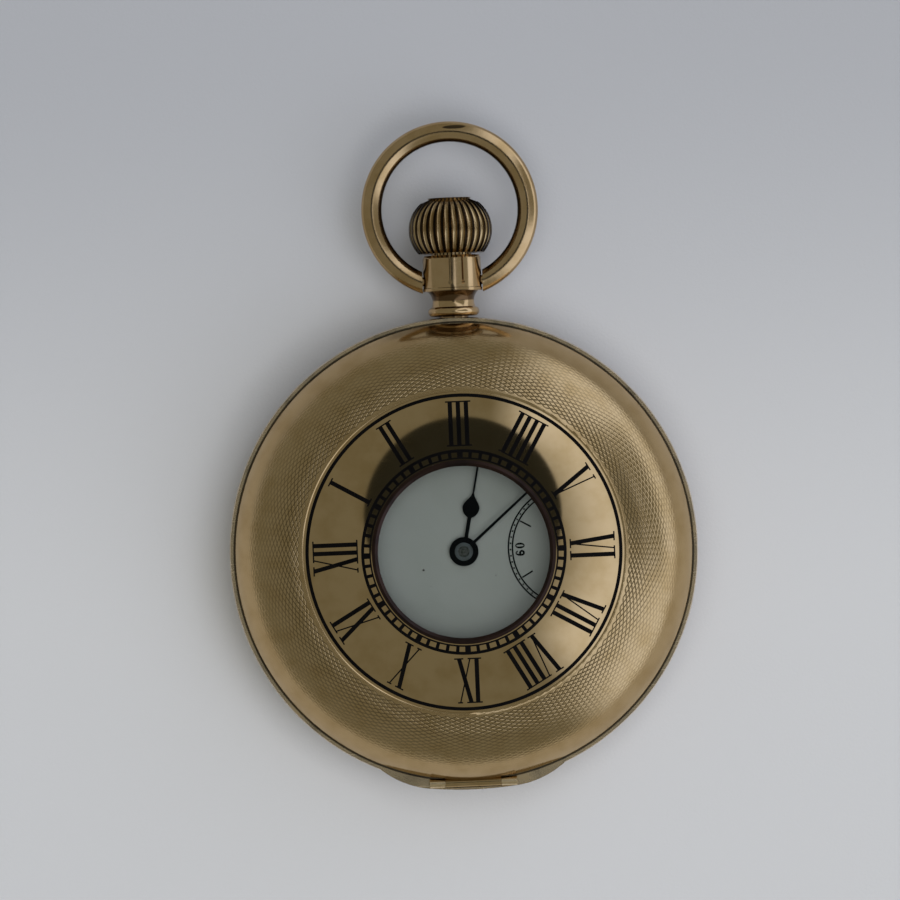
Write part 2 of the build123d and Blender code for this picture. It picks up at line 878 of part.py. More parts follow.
with BuildPart() as case_band:
    add(band_ring())
    with BuildSketch(Plane.XY.offset(z_band)):
        add(bulge_outline())
        Circle(wall_inner_radius, mode=Mode.SUBTRACT)
    extrude(amount=band_height)
    for y, z in ((y_front_hinge, z_band_top), (y_back_hinge, z_band)):
        add(bar_along_x(knuckle_radius + knuckle_gap, cover_knuckle + 2 * knuckle_gap, y, z),
            mode=Mode.SUBTRACT)
        for side in (-1, 1):
            add(bar_along_x(knuckle_radius, band_knuckle, y, z, side * outer_knuckle_middle))
        add(bar_along_x(hinge_pin_radius + running_gap, pin_length, y, z), mode=Mode.SUBTRACT)
    for side in (-1, 1):
        add(bar_along_x(cuvette_knuckle_radius, cuvette_lug, y_cuvette_hinge, z_cuvette_hinge,
                        side * cuvette_side_middle))
        add(block(cuvette_lug, y_cuvette_hinge - hinge_pin_radius, y_cuvette_hinge + hinge_pin_radius,
                  z_cuvette_hinge, z_band + lid_gap, side * cuvette_side_middle))
    add(bar_along_x(hinge_pin_radius + running_gap, cuvette_pin_length, y_cuvette_hinge, z_cuvette_hinge),
        mode=Mode.SUBTRACT)
    add(bar_along_y(pendant_root + running_gap, channel_inner - cut_overrun, case_radius + cut_overrun),
        mode=Mode.SUBTRACT)
    for place_xy in spring_places:
        add(disc(spring_screw_radius, z_channel - spring_screw_depth, spring_screw_depth, place_xy),
            mode=Mode.SUBTRACT)
    for place_xy in case_screw_places:
        add(disc(case_screw_shank, z_ledge_foot, ledge_thick, place_xy), mode=Mode.SUBTRACT)
save(case_band.part, "case_band")

save(bar_along_x(hinge_pin_radius, pin_length, y_front_hinge, z_band_top), "front_hinge_pin")
save(bar_along_x(hinge_pin_radius, pin_length, y_back_hinge, z_band), "back_hinge_pin")
save(bar_along_x(hinge_pin_radius, cuvette_pin_length, y_cuvette_hinge, z_cuvette_hinge), "cuvette_hinge_pin")


# Back cover and cuvette
def back_shell():
    """The turned back: a flat cartouche to rest on, a shallow round and a close shoulder up to the rim."""
    z_rim = z_band - lid_gap
    round_mid = (back_flat_radius + back_round_radius) / 2
    mid_rise = back_round_rise * ((round_mid - back_flat_radius) / (back_round_radius - back_flat_radius))**2
    slant = cover_wall * sqrt(0.5)
    with BuildPart() as shell:
        with BuildSketch(Plane.XZ):
            with BuildLine():
                Line((0, 0), (back_flat_radius, 0))
                ThreePointArc((back_flat_radius, 0), (round_mid, mid_rise),
                              (back_round_radius, back_round_rise))
                ThreePointArc((back_round_radius, back_round_rise),
                              (back_shoulder_radius, back_shoulder_rise),
                              (back_radius, back_rim_rise))
                Line((back_radius, back_rim_rise), (back_radius, z_rim))
                Line((back_radius, z_rim), (back_radius - cover_wall, z_rim))
                Line((back_radius - cover_wall, z_rim), (back_radius - cover_wall, back_rim_rise))
                ThreePointArc((back_radius - cover_wall, back_rim_rise),
                              (back_shoulder_radius - slant, back_shoulder_rise + slant),
                              (back_round_radius, back_round_rise + cover_wall))
                ThreePointArc((back_round_radius, back_round_rise + cover_wall),
                              (round_mid, mid_rise + cover_wall), (back_flat_radius, cover_wall))
                Line((back_flat_radius, cover_wall), (0, cover_wall))
                Line((0, cover_wall), (0, 0))
            make_face()
        revolve(axis=Axis.Z)
    return shell.part


with BuildPart() as back_cover:
    add(back_shell())
    add(bar_along_x(knuckle_radius, cover_knuckle, y_back_hinge, z_band))
    add(bar_along_x(hinge_pin_radius + running_gap, pin_length, y_back_hinge, z_band), mode=Mode.SUBTRACT)
    for side in (-1, 1):
        add(bar_along_x(knuckle_radius + lid_gap, band_knuckle + 2 * knuckle_gap, y_back_hinge, z_band,
                        side * outer_knuckle_middle), mode=Mode.SUBTRACT)
save(back_cover.part, "back_cover")


def cuvette_shell():
    """The turned inner cover: flat in the middle, curving up to a short rim."""
    round_rise = z_cuvette + cuvette_round_rise
    rim_low = z_cuvette + cuvette_rim_rise
    rim_high = rim_low + cuvette_rim_height
    inner_radius = cuvette_radius - cuvette_rim_height
    with BuildPart() as shell:
        with BuildSketch(Plane.XZ):
            with BuildLine():
                Line((0, z_cuvette), (cuvette_flat_radius, z_cuvette))
                ThreePointArc((cuvette_flat_radius, z_cuvette), (cuvette_round_radius, round_rise),
                              (cuvette_radius, rim_low))
                Line((cuvette_radius, rim_low), (cuvette_radius, rim_high))
                Line((cuvette_radius, rim_high), (inner_radius, rim_high))
                Line((inner_radius, rim_high), (inner_radius, rim_low + cuvette_wall / 2))
                ThreePointArc((inner_radius, rim_low + cuvette_wall / 2),
                              (cuvette_round_radius - cuvette_wall, round_rise + cuvette_wall),
                              (cuvette_flat_radius, z_cuvette_in))
                Line((cuvette_flat_radius, z_cuvette_in), (0, z_cuvette_in))
                Line((0, z_cuvette_in), (0, z_cuvette))
            make_face()
        revolve(axis=Axis.Z)
    return shell.part


with BuildPart() as cuvette:
    rim_low = z_cuvette + cuvette_rim_rise
    lug_end = y_cuvette_hinge - cuvette_lug_reach
    add(cuvette_shell())
    add(block(cuvette_knuckle, lug_end, -(cuvette_radius - cuvette_rim_height), rim_low,
              rim_low + cuvette_rim_height))
    add(block(cuvette_knuckle, lug_end, y_cuvette_hinge + cuvette_lug_reach, rim_low, z_cuvette_hinge))
    add(bar_along_x(cuvette_knuckle_radius, cuvette_knuckle, y_cuvette_hinge, z_cuvette_hinge))
    add(bar_along_x(hinge_pin_radius + running_gap, cuvette_pin_length, y_cuvette_hinge, z_cuvette_hinge),
        mode=Mode.SUBTRACT)
save(cuvette.part, "cuvette")


# Pendant, bow, crown and stem
def pendant_outline():
    """The pendant's turned face: root, bead, waisted neck, lipped collar and the bores."""
    with BuildSketch(Plane.XY.offset(z_stem)) as face:
        with BuildLine():
            y_root = y_bead - pendant_seat
            y_floor = y_collar + collar_floor
            Polyline((pendant_bore, y_root), (pendant_root, y_root), (pendant_root, y_bead),
                     (neck_radius, y_bead))
            ThreePointArc((neck_radius, y_bead), (bead_radius, (y_bead + y_neck) / 2), (neck_radius, y_neck))
            ThreePointArc((neck_radius, y_neck), (neck_radius - neck_waist, (y_neck + y_collar) / 2),
                          (bead_radius, y_collar))
            Polyline((bead_radius, y_collar), (collar_radius + collar_lip, y_collar),
                     (collar_radius + collar_lip, y_collar + pendant_shoulder),
                     (collar_radius, y_collar + pendant_shoulder + collar_lip),
                     (collar_radius, y_collar_end - pendant_shoulder),
                     (collar_radius - pendant_shoulder / 2, y_collar_end), (collar_bore, y_collar_end),
                     (collar_bore, y_floor), (pendant_bore, y_floor), (pendant_bore, y_root))
        make_face()
    return face.sketch


with BuildPart() as pendant:
    y_slit = y_bow_pivot - slit_eye
    add(pendant_outline())
    revolve(axis=Axis((0, 0, z_stem), (0, 1, 0)))
    add(bar_along_x(bow_pin_radius + bow_gap, 2 * (collar_radius + cut_overrun), y_bow_pivot, z_stem),
        mode=Mode.SUBTRACT)
    for bearing in slit_bearings:
        slit = block(slit_width, y_slit, y_collar_end + cut_overrun, z_stem + collar_radius - slit_depth,
                     z_stem + collar_radius + cut_overrun)
        eye = disc(slit_eye, z_stem + collar_radius - slit_depth, slit_depth + cut_overrun, (0, y_slit))
        for cutter in (slit, eye):
            add(cutter.rotate(Axis((0, 0, z_stem), (0, 1, 0)), 90 - bearing), mode=Mode.SUBTRACT)
save(pendant.part, "pendant")

with BuildPart() as bow:
    end_inner = collar_radius + bow_gap
    pin_run = bow_pin_length + bow_gap + bow_width / 2
    bow_axis = Axis((0, y_bow, z_stem), (0, 0, 1))
    start = -90 + bow_end_angle
    section_x = polar(1, start)
    section = Plane(origin=(bow_radius * section_x[0], y_bow + bow_radius * section_x[1], z_stem),
                    x_dir=(section_x[0], section_x[1], 0), z_dir=(section_x[1], -section_x[0], 0))
    with BuildSketch(section):
        Ellipse(bow_width / 2, bow_thick / 2)
    revolve(axis=bow_axis, revolution_arc=360 - 2 * bow_end_angle)
    add(block(2 * end_inner, y_bow - bow_radius - bow_width, y_collar_end, z_stem - bow_width,
              z_stem + bow_width), mode=Mode.SUBTRACT)
    for side in (-1, 1):
        add(bar_along_x(bow_pin_radius, pin_run, y_bow_pivot, z_stem,
                        side * (collar_radius - bow_pin_length + pin_run / 2)))
save(bow.part, "bow")

crown_middle = (crown_radius, y_crown + crown_mid_share * crown_height)


def crown_blank():
    """The crown's onion shape with the hub that turns in the collar."""
    with BuildPart() as blank:
        with BuildSketch(Plane.XY.offset(z_stem)):
            with BuildLine():
                Polyline((0, y_crown_end), (0, y_crown - crown_hub_length),
                         (crown_hub_radius, y_crown - crown_hub_length), (crown_hub_radius, y_crown),
                         (crown_foot_radius, y_crown))
                ThreePointArc((crown_foot_radius, y_crown), crown_middle, (crown_top_radius, y_crown_end))
                Line((crown_top_radius, y_crown_end), (0, y_crown_end))
            make_face()
        revolve(axis=Axis((0, 0, z_stem), (0, 1, 0)))
    return blank.part


def crown_groove():
    """One round groove that follows the crown's profile from foot to top."""
    with BuildPart() as groove:
        with BuildLine(Plane.XY.offset(z_stem)) as path:
            ThreePointArc((crown_foot_radius, y_crown), crown_middle, (crown_top_radius, y_crown_end))
        with BuildSketch(Plane(origin=path.line @ 0, z_dir=path.line % 0)):
            Circle(flute_radius)
        sweep()
    return groove.part


with BuildPart() as crown:
    add(crown_blank())
    one_groove = crown_groove()
    for flute in range(crown_flutes):
        turn = 360 * (flute + 0.5) / crown_flutes
        add(one_groove.rotate(Axis((0, 0, z_stem), (0, 1, 0)), turn), mode=Mode.SUBTRACT)
    add(bar_along_y(stem_radius + running_gap, y_crown - crown_hub_length,
                    y_crown + crown_grip + crown_travel_in + end_shake), mode=Mode.SUBTRACT)
save(crown.part, "crown")

with BuildPart() as crown_sleeve:
    add(bar_along_y(sleeve_outer, sleeve_reach, y_crown - crown_hub_length))
    add(bar_along_y(sleeve_inner, sleeve_reach, y_crown - crown_hub_length), mode=Mode.SUBTRACT)
save(crown_sleeve.part, "crown_sleeve")


# Places of the arbors, worked out from the wheels that mesh
def bearing_to(start, end):
    """The bearing in degrees from one point to another."""
    return degrees(atan2(end[1] - start[1], end[0] - start[0]))


def mate(tooth_bearing, teeth, bearing, other_teeth):
    """The bearing of a tooth of the wheel that meshes, seen along bearing, with a wheel of known phase."""
    return bearing + 180 - (tooth_bearing - bearing) * teeth / other_teeth + 180 / other_teeth


centre_pitch = centre_module * (centre_teeth + third_leaves) / 2
third_pitch = third_module * (third_teeth + fourth_leaves) / 2
escape_pitch = fourth_module * (fourth_teeth + escape_leaves) / 2
barrel_pitch = barrel_module * (barrel_teeth + centre_leaves) / 2
motion_pitch = motion_module * (cannon_leaves + minute_teeth) / 2
ratchet_pitch = winding_module * (crown_wheel_teeth + ratchet_teeth) / 2
setting_pitch = setting_module * (setting_teeth + minute_teeth) / 2
third_along = (centre_pitch**2 - third_pitch**2 + seconds_offset**2) / (2 * seconds_offset)
centre_at = (0, 0)
third_at = (third_along, -sqrt(centre_pitch**2 - third_along**2))
fourth_at = (seconds_offset, 0)
escape_at = polar(escape_pitch, escape_bearing, fourth_at)
balance_at = (balance_x, balance_y)
pallet_bearing = bearing_to(escape_at, balance_at)
pallet_at = polar(pallet_reach, pallet_bearing, escape_at)
barrel_at = polar(barrel_pitch, barrel_bearing)
minute_at = polar(motion_pitch, minute_bearing)
crown_wheel_at = (0, barrel_at[1] + sqrt(ratchet_pitch**2 - barrel_at[0]**2))
setting_at = (setting_x, minute_at[1] + sqrt(setting_pitch**2 - (setting_x - minute_at[0])**2))
click_at = polar(click_reach, click_bearing, barrel_at)
bridge_screw_places = (
    polar(plate_screw_ring, 35.0), polar(plate_screw_ring, 110.0), polar(plate_screw_ring, 192.0),
    polar(train_screw_ring, 8.0), polar(train_screw_ring, -29.0), polar(cock_screw_ring, -134.0),
)
cock_bearing = bearing_to(balance_at, polar(cock_screw_ring, sum(cock_foot_bearings) / 2))
click_anchor = (click_at[0] + click_anchor_offset[0], click_at[1] + click_anchor_offset[1])
click_spring_end = polar(click_radius + click_touch, bearing_to(click_at, click_anchor), click_at)
stud_at = (balance_at[0] - hairspring_inner - hairspring_pitch * hairspring_turns - stud_size, balance_at[1])


# Dial and hands
def hand_plane(bearing, z):
    """A plane whose X points along a hand."""
    return Plane(origin=(0, 0, z), x_dir=(cos(radians(bearing)), sin(radians(bearing)), 0), z_dir=(0, 0, 1))


with BuildPart() as dial:
    add(disc(dial_radius, z_dial_under, dial_thick))
    add(disc(seconds_track_outer + dial_hole_gap, z_dial - seconds_sink, cut_overrun, fourth_at),
        mode=Mode.SUBTRACT)
    add(disc(hour_tube + dial_hole_gap, z_dial_under, dial_thick), mode=Mode.SUBTRACT)
    add(disc(seconds_arbor + dial_hole_gap, z_dial_under, dial_thick, fourth_at), mode=Mode.SUBTRACT)
    for bearing in dial_feet_bearings:
        add(disc(dial_foot, z_plate_top - dial_foot_depth, motion_room + dial_foot_depth,
                 polar(dial_feet_radius, bearing)))
save(dial.part, "dial")


def rail_track(outer, inner, centre, z, long_length, left_out):
    """Two printed rails, sixty ticks between them and twelve longer ones inside, less those left out."""
    tick_gap = dial_line / 4
    with BuildPart() as track:
        add(ring(outer, outer - dial_line, z, print_depth, centre))
        add(ring(inner + dial_line, inner, z, print_depth, centre))
        with BuildSketch(Plane.XY.offset(z)):
            with Locations(centre):
                with PolarLocations((outer + inner) / 2, 60):
                    Rectangle(outer - inner - 2 * (dial_line + tick_gap), dial_line)
                with PolarLocations(inner - tick_gap - long_length / 2, 12 - left_out,
                                    start_angle=180 + left_out * hour_step,
                                    angular_range=(12 - left_out) * hour_step):
                    Rectangle(long_length, dial_line)
        extrude(amount=print_depth)
    return track.part


def sixty():
    """The printed 60 inside the seconds track, its foot away from the dial's middle."""
    middle = (seconds_offset - seconds_track_inner + digits_inset, 0)
    step = (digit_width + digit_gap) / 2
    z = z_dial - seconds_sink
    bowl_share = 0.62
    bowl_height = bowl_share * digit_height
    with BuildPart() as digits:
        with BuildSketch(Plane(origin=(middle[0], middle[1], z), x_dir=(0, 1, 0), z_dir=(0, 0, 1))):
            with Locations((step, 0)):
                Ellipse(digit_width / 2, digit_height / 2)
                Ellipse(digit_width / 2 - digit_stroke, digit_height / 2 - digit_stroke / 2,
                        mode=Mode.SUBTRACT)
            with Locations((-step, 0)):
                Ellipse(digit_width / 2, digit_height / 2)
                Ellipse(digit_width / 2 - digit_stroke, digit_height / 2 - digit_stroke / 2,
                        mode=Mode.SUBTRACT)
            with Locations((-step / 2, 0)):
                Rectangle(step, digit_height / 2, mode=Mode.SUBTRACT)
            with Locations((-step, (bowl_height - digit_height) / 2)):
                Ellipse(digit_width / 2, bowl_height / 2)
                Ellipse(digit_width / 2 - digit_stroke, bowl_height / 2 - digit_stroke, mode=Mode.SUBTRACT)
        extrude(amount=print_depth)
    return digits.part


with BuildPart() as dial_print:
    add(rail_track(dial_track_outer, dial_track_inner, centre_at, z_dial, long_tick, 0))
    add(rail_track(seconds_track_outer, seconds_track_inner, fourth_at, z_dial - seconds_sink,
                   seconds_long_tick, 1))
    add(sixty())
    print_scale = (dial_numeral_outer - dial_numeral_inner) / (numeral_outer - numeral_inner)
    add(numeral_ring(dial_numeral_inner, dial_numeral_outer, print_scale, Plane.XY.offset(z_dial),
                     print_depth, without="VI"))
save(dial_print.part, "dial_print")


def spade(start, widest, half_width, point, root_half, point_half):
    """One side of a spade as a spline from its root to its point, and the mirrored side back."""
    belly = (start + widest) / 2
    waist = (widest + point) / 2
    belly_share, waist_share = spade_shares
    upper = ((start, root_half), (belly, half_width * belly_share), (widest, half_width),
             (waist, half_width * waist_share), (point, point_half))
    lower = tuple((x, -y) for x, y in reversed(upper))
    return upper, lower


def spade_face(outline):
    """A closed face from a spade's two sides."""
    upper, lower = outline
    with BuildSketch() as face:
        with BuildLine():
            Spline(*upper)
            Line(upper[-1], lower[0])
            Spline(*lower)
            Line(lower[-1], upper[0])
        make_face()
    return face.sketch


with BuildPart() as hour_hand:
    with BuildSketch(hand_plane(hour_angle, z_hour_hand)):
        Circle(hand_hub)
        with Locations((spade_start / 2, 0)):
            Rectangle(spade_start, hour_stem_width)
        add(spade_face(spade(spade_start, spade_widest, spade_half_width, spade_point, hour_stem_width / 2,
                             needle_width / 2)))
        with Locations(((spade_point + outer_spade_start) / 2, 0)):
            Rectangle(outer_spade_start - spade_point + needle_width, needle_width)
        add(spade_face(spade(outer_spade_start, outer_spade_widest, outer_spade_half_width, hour_tip,
                             needle_width / 2, needle_width / 4)))
        Circle(hour_tube, mode=Mode.SUBTRACT)
    extrude(amount=hand_thick)
save(hour_hand.part, "hour_hand")

with BuildPart() as minute_hand:
    with BuildSketch(hand_plane(minute_angle, z_minute_hand)):
        with BuildLine():
            Polyline((0, minute_width / 2), (minute_tip, minute_tip_width / 2),
                     (minute_tip, -minute_tip_width / 2), (0, -minute_width / 2), close=True)
        make_face()
        Circle(hand_eye)
    extrude(amount=hand_thick)
    add(disc(hand_cap, z_minute_hand + hand_thick, hand_cap_height))
    add(disc(cannon_tube, z_minute_hand, hand_thick + hand_cap_height), mode=Mode.SUBTRACT)
save(minute_hand.part, "minute_hand")

z_seconds_hand = z_dial + seconds_lift
with BuildPart() as seconds_hand:
    with BuildSketch(Plane(origin=(seconds_offset, 0, z_seconds_hand), x_dir=polar(1, seconds_angle) + (0,),
                           z_dir=(0, 0, 1))):
        Circle(seconds_hub)
        with Locations(((seconds_tip - seconds_tail) / 2, 0)):
            Rectangle(seconds_tip + seconds_tail, seconds_width)
        Circle(seconds_arbor, mode=Mode.SUBTRACT)
    extrude(amount=seconds_thick)
save(seconds_hand.part, "seconds_hand")


# Wheels and arbors
def crossed_wheel(module, teeth, tooth_bearing, bottom, height, centre):
    """A toothed wheel with a rim, a hub and five arms."""
    pitch_radius = module * teeth / 2
    rim_in = pitch_radius * (1 - rim_share) - module
    hub = max(3 * arbor_radius, rim_share * pitch_radius)
    arm = 2 * arm_share * pitch_radius
    with BuildPart() as wheel:
        add(gear(module, teeth, tooth_bearing, bottom, height, centre))
        with BuildSketch(Plane.XY.offset(bottom)):
            with Locations(centre):
                Circle(rim_in)
                Circle(hub, mode=Mode.SUBTRACT)
                for number in range(wheel_arms):
                    Rectangle(rim_in + module, arm, rotation=tooth_bearing + 360 * number / wheel_arms,
                              align=(Align.MIN, Align.CENTER), mode=Mode.SUBTRACT)
        extrude(amount=height, mode=Mode.SUBTRACT)
    return wheel.part


def arbor(centre, radius=arbor_radius):
    """A train arbor between the bridges and the plate, with a thin pivot at each end."""
    low = z_bridge_in + end_shake
    high = z_plate - end_shake
    with BuildPart() as shaft:
        add(disc(radius, low, high - low, centre))
        add(disc(pivot_radius, low - pivot_length, high - low + 2 * pivot_length, centre))
    return shaft.part


# Phases: the fourth wheel's pinion leads the rest
toward_fourth = bearing_to(third_at, fourth_at)
toward_third = bearing_to(centre_at, third_at)
fourth_phase = toward_fourth + 180
third_phase = mate(fourth_phase, fourth_leaves, toward_fourth + 180, third_teeth)
centre_phase = toward_third
third_pinion_phase = mate(centre_phase, centre_teeth, toward_third, third_leaves)
fourth_wheel_phase = escape_bearing
escape_pinion_phase = mate(fourth_wheel_phase, fourth_teeth, escape_bearing, escape_leaves)
centre_pinion_phase = barrel_bearing
barrel_phase = mate(centre_pinion_phase, centre_leaves, barrel_bearing, barrel_teeth)

with BuildPart() as centre_wheel:
    add(crossed_wheel(centre_module, centre_teeth, centre_phase, z_bridge_in + centre_wheel_rise, wheel_thick,
                      centre_at))
    add(gear(barrel_module, centre_leaves, centre_pinion_phase, z_bridge_in + centre_pinion_rise,
             centre_pinion_height, centre_at))
    add(arbor(centre_at))
    add(disc(cannon_post, z_plate - end_shake, z_post - z_plate + end_shake))
save(centre_wheel.part, "centre_wheel")

with BuildPart() as third_wheel:
    add(crossed_wheel(third_module, third_teeth, third_phase, z_bridge_in + third_wheel_rise,
                      third_wheel_thick,
                      third_at))
    add(gear(centre_module, third_leaves, third_pinion_phase, z_bridge_in + third_pinion_rise, pinion_height,
             third_at))
    add(arbor(third_at))
save(third_wheel.part, "third_wheel")

with BuildPart() as fourth_wheel:
    add(crossed_wheel(fourth_module, fourth_teeth, fourth_wheel_phase, z_bridge_in + fourth_wheel_rise,
                      wheel_thick,
                      fourth_at))
    add(gear(third_module, fourth_leaves, fourth_phase, z_bridge_in + fourth_pinion_rise, pinion_height,
             fourth_at))
    add(arbor(fourth_at))
    add(disc(seconds_arbor, z_plate - end_shake, z_seconds_hand + seconds_thick - z_plate + end_shake,
             fourth_at))
save(fourth_wheel.part, "fourth_wheel")


def escape_outline():
    """The escape wheel's outline: raked teeth with narrow tips."""
    root = escape_root_share * escape_radius
    step = 360 / escape_teeth
    points = []
    for tooth in range(escape_teeth):
        bearing = pallet_bearing + step / 2 + step * tooth
        points.append(polar(root, bearing - step / 3, escape_at))
        points.append(polar(root, bearing, escape_at))
        points.append(polar(escape_radius, bearing + escape_lean, escape_at))
        points.append(polar(escape_radius, bearing + escape_lean + escape_tip_width, escape_at))
    return points


with BuildPart() as escape_wheel:
    z_escape = z_bridge_in + escape_wheel_rise
    with BuildSketch(Plane.XY.offset(z_escape)):
        with BuildLine():
            Polyline(*escape_outline(), close=True)
        make_face()
        rim_in = (escape_root_share - rim_share / 2) * escape_radius
        with Locations(escape_at):
            Circle(rim_in, mode=Mode.SUBTRACT)
            Circle(3 * arbor_radius)
            for number in range(wheel_arms):
                Rectangle(rim_in + arm_share, 2 * arm_share * escape_radius,
                          rotation=360 * number / wheel_arms,
                          align=(Align.MIN, Align.CENTER))
    extrude(amount=escape_wheel_thick)
    add(gear(fourth_module, escape_leaves, escape_pinion_phase, z_bridge_in + escape_pinion_rise,
             escape_pinion_height, escape_at))
    add(arbor(escape_at))
save(escape_wheel.part, "escape_wheel")

# Motion work between the plate and the dial
z_motion = z_plate_top + end_shake * 2
z_hour_wheel = z_plate_top + hour_wheel_lift
cannon_phase = minute_bearing
minute_phase = mate(cannon_phase, cannon_leaves, minute_bearing, minute_teeth)
hour_phase = minute_bearing
minute_pinion_phase = mate(hour_phase, hour_teeth, minute_bearing, minute_leaves)
setting_phase = mate(minute_phase, minute_teeth, bearing_to(minute_at, setting_at), setting_teeth)

with BuildPart() as cannon_pinion:
    add(gear(motion_module, cannon_leaves, cannon_phase, z_motion, minute_wheel_thick, centre_at))
    add(disc(cannon_tube, z_motion, z_minute_hand + hand_thick - z_motion))
    add(disc(cannon_post + running_gap, z_motion, z_post - z_motion), mode=Mode.SUBTRACT)
save(cannon_pinion.part, "cannon_pinion")

with BuildPart() as hour_wheel:
    add(crossed_wheel(hour_module, hour_teeth, hour_phase, z_hour_wheel, wheel_thick, centre_at))
    add(disc(hour_tube, z_hour_wheel, z_hour_hand + hand_thick - z_hour_wheel))
    add(disc(cannon_tube + end_shake, z_hour_wheel, z_post - z_hour_wheel), mode=Mode.SUBTRACT)
save(hour_wheel.part, "hour_wheel")

with BuildPart() as minute_wheel:
    add(crossed_wheel(motion_module, minute_teeth, minute_phase, z_motion, minute_wheel_thick, minute_at))
    add(gear(hour_module, minute_leaves, minute_pinion_phase, z_motion + minute_wheel_thick,
             z_hour_wheel + wheel_thick - z_motion - minute_wheel_thick, minute_at))
    add(disc(arbor_radius + running_gap, z_motion, motion_room, minute_at), mode=Mode.SUBTRACT)
save(minute_wheel.part, "minute_wheel")

with BuildPart() as setting_wheel:
    add(gear(setting_module, setting_teeth, setting_phase, z_motion, minute_wheel_thick, setting_at))
    add(disc(arbor_radius + running_gap, z_motion, motion_room, setting_at), mode=Mode.SUBTRACT)
save(setting_wheel.part, "setting_wheel")

# Going barrel
z_barrel = z_bridge_in + barrel_rise
z_drum = z_barrel + barrel_toothed
z_lid = z_drum + drum_height
drum_floor = z_barrel + drum_wall

with BuildPart() as barrel_drum:
    add(gear(barrel_module, barrel_teeth, barrel_phase, z_barrel, barrel_toothed, barrel_at))
    add(disc(drum_radius, z_drum, drum_height, barrel_at))
    add(disc(drum_radius - drum_wall, drum_floor, z_lid - drum_floor, barrel_at), mode=Mode.SUBTRACT)
    add(disc(barrel_arbor_radius + running_gap, z_barrel, barrel_toothed, barrel_at), mode=Mode.SUBTRACT)
save(barrel_drum.part, "barrel_drum")
save(ring(drum_radius, barrel_arbor_radius + running_gap, z_lid, lid_thick, barrel_at), "barrel_lid")

with BuildPart() as barrel_arbor:
    arbor_low = z_bridge + winding_wheel_thick
    add(disc(barrel_arbor_radius, arbor_low, z_plate - end_shake - arbor_low, barrel_at))
    add(disc(barrel_core, drum_floor + end_shake, z_lid - drum_floor - 2 * end_shake, barrel_at))
    add(disc(barrel_pivot, z_plate - end_shake, jewel_thick, barrel_at))
    add(block(arbor_square, barrel_at[1] - arbor_square / 2, barrel_at[1] + arbor_square / 2, z_bridge,
              arbor_low,
              barrel_at[0]))
save(barrel_arbor.part, "barrel_arbor")


def spiral_arcs(inner, pitch, turns, centre):
    """The half-turns of a flat spiral: radius, side that each starts on and its middle."""
    arcs = []
    for half in range(2 * turns):
        side = 1 if half % 2 == 0 else -1
        arcs.append((inner + half * pitch / 2, side, (centre[0] - side * pitch / 4, centre[1])))
    return arcs


def spiral_ribbon(inner, pitch, thick, turns, centre, bottom, height):
    """One unbroken ribbon wound in a flat spiral of half-turn arcs."""
    with BuildPart() as ribbon:
        with BuildSketch(Plane.XY.offset(bottom)):
            with BuildLine():
                ends = []
                for offset in (-thick / 2, thick / 2):
                    start = None
                    for radius, side, middle in spiral_arcs(inner, pitch, turns, centre):
                        reach = radius + offset
                        first = (middle[0] + side * reach, middle[1])
                        last = (middle[0] - side * reach, middle[1])
                        start = start or first
                        ThreePointArc(first, (middle[0], middle[1] + side * reach), last)
                    ends.append((start, last))
                Line(ends[0][0], ends[1][0])
                Line(ends[0][1], ends[1][1])
            make_face()
        extrude(amount=height)
    return ribbon.part


mainspring_start = barrel_core + coil_pitch / 4 + coil_thick / 2 + running_gap
mainspring = spiral_ribbon(mainspring_start, coil_pitch, coil_thick, mainspring_turns, barrel_at,
                           drum_floor + end_shake, z_lid - drum_floor - 2 * end_shake)
save(mainspring, "mainspring")

# Winding wheels let into the back of the barrel bridge
crown_wheel_phase = 90 + 180 / crown_wheel_teeth
toward_barrel = bearing_to(crown_wheel_at, barrel_at)
ratchet_phase = mate(crown_wheel_phase, crown_wheel_teeth, toward_barrel, ratchet_teeth)
z_well = z_bridge + recess_depth

with BuildPart() as crown_wheel:
    add(gear(winding_module, crown_wheel_teeth, crown_wheel_phase, z_bridge, winding_wheel_thick,
             crown_wheel_at))
    add(disc(screw_shank + running_gap, z_bridge, winding_wheel_thick, crown_wheel_at), mode=Mode.SUBTRACT)
save(crown_wheel.part, "crown_wheel")

with BuildPart() as ratchet_wheel:
    add(gear(winding_module, ratchet_teeth, ratchet_phase, z_bridge, winding_wheel_thick, barrel_at))
    add(block(arbor_square + 2 * running_gap, barrel_at[1] - arbor_square / 2 - running_gap,
              barrel_at[1] + arbor_square / 2 + running_gap, z_bridge, z_bridge + winding_wheel_thick,
              barrel_at[0]),
        mode=Mode.SUBTRACT)
save(ratchet_wheel.part, "ratchet_wheel")


def prism(corners, bottom, height):
    """An upright solid with straight sides."""
    with BuildPart() as body:
        with BuildSketch(Plane.XY.offset(bottom)):
            with BuildLine():
                Polyline(*corners, close=True)
            make_face()
        extrude(amount=height)
    return body.part


def tapered_arm(start, start_half, end, end_half, bottom, height):
    """A tapered bar between two points with round ends."""
    bearing = bearing_to(start, end)
    side = polar(1, bearing + 90)
    corners = [(start[0] + start_half * side[0], start[1] + start_half * side[1]),
               (end[0] + end_half * side[0], end[1] + end_half * side[1]),
               (end[0] - end_half * side[0], end[1] - end_half * side[1]),
               (start[0] - start_half * side[0], start[1] - start_half * side[1])]
    with BuildPart() as body:
        add(prism(corners, bottom, height))
        add(disc(start_half, bottom, height, start))
        add(disc(end_half, bottom, height, end))
    return body.part


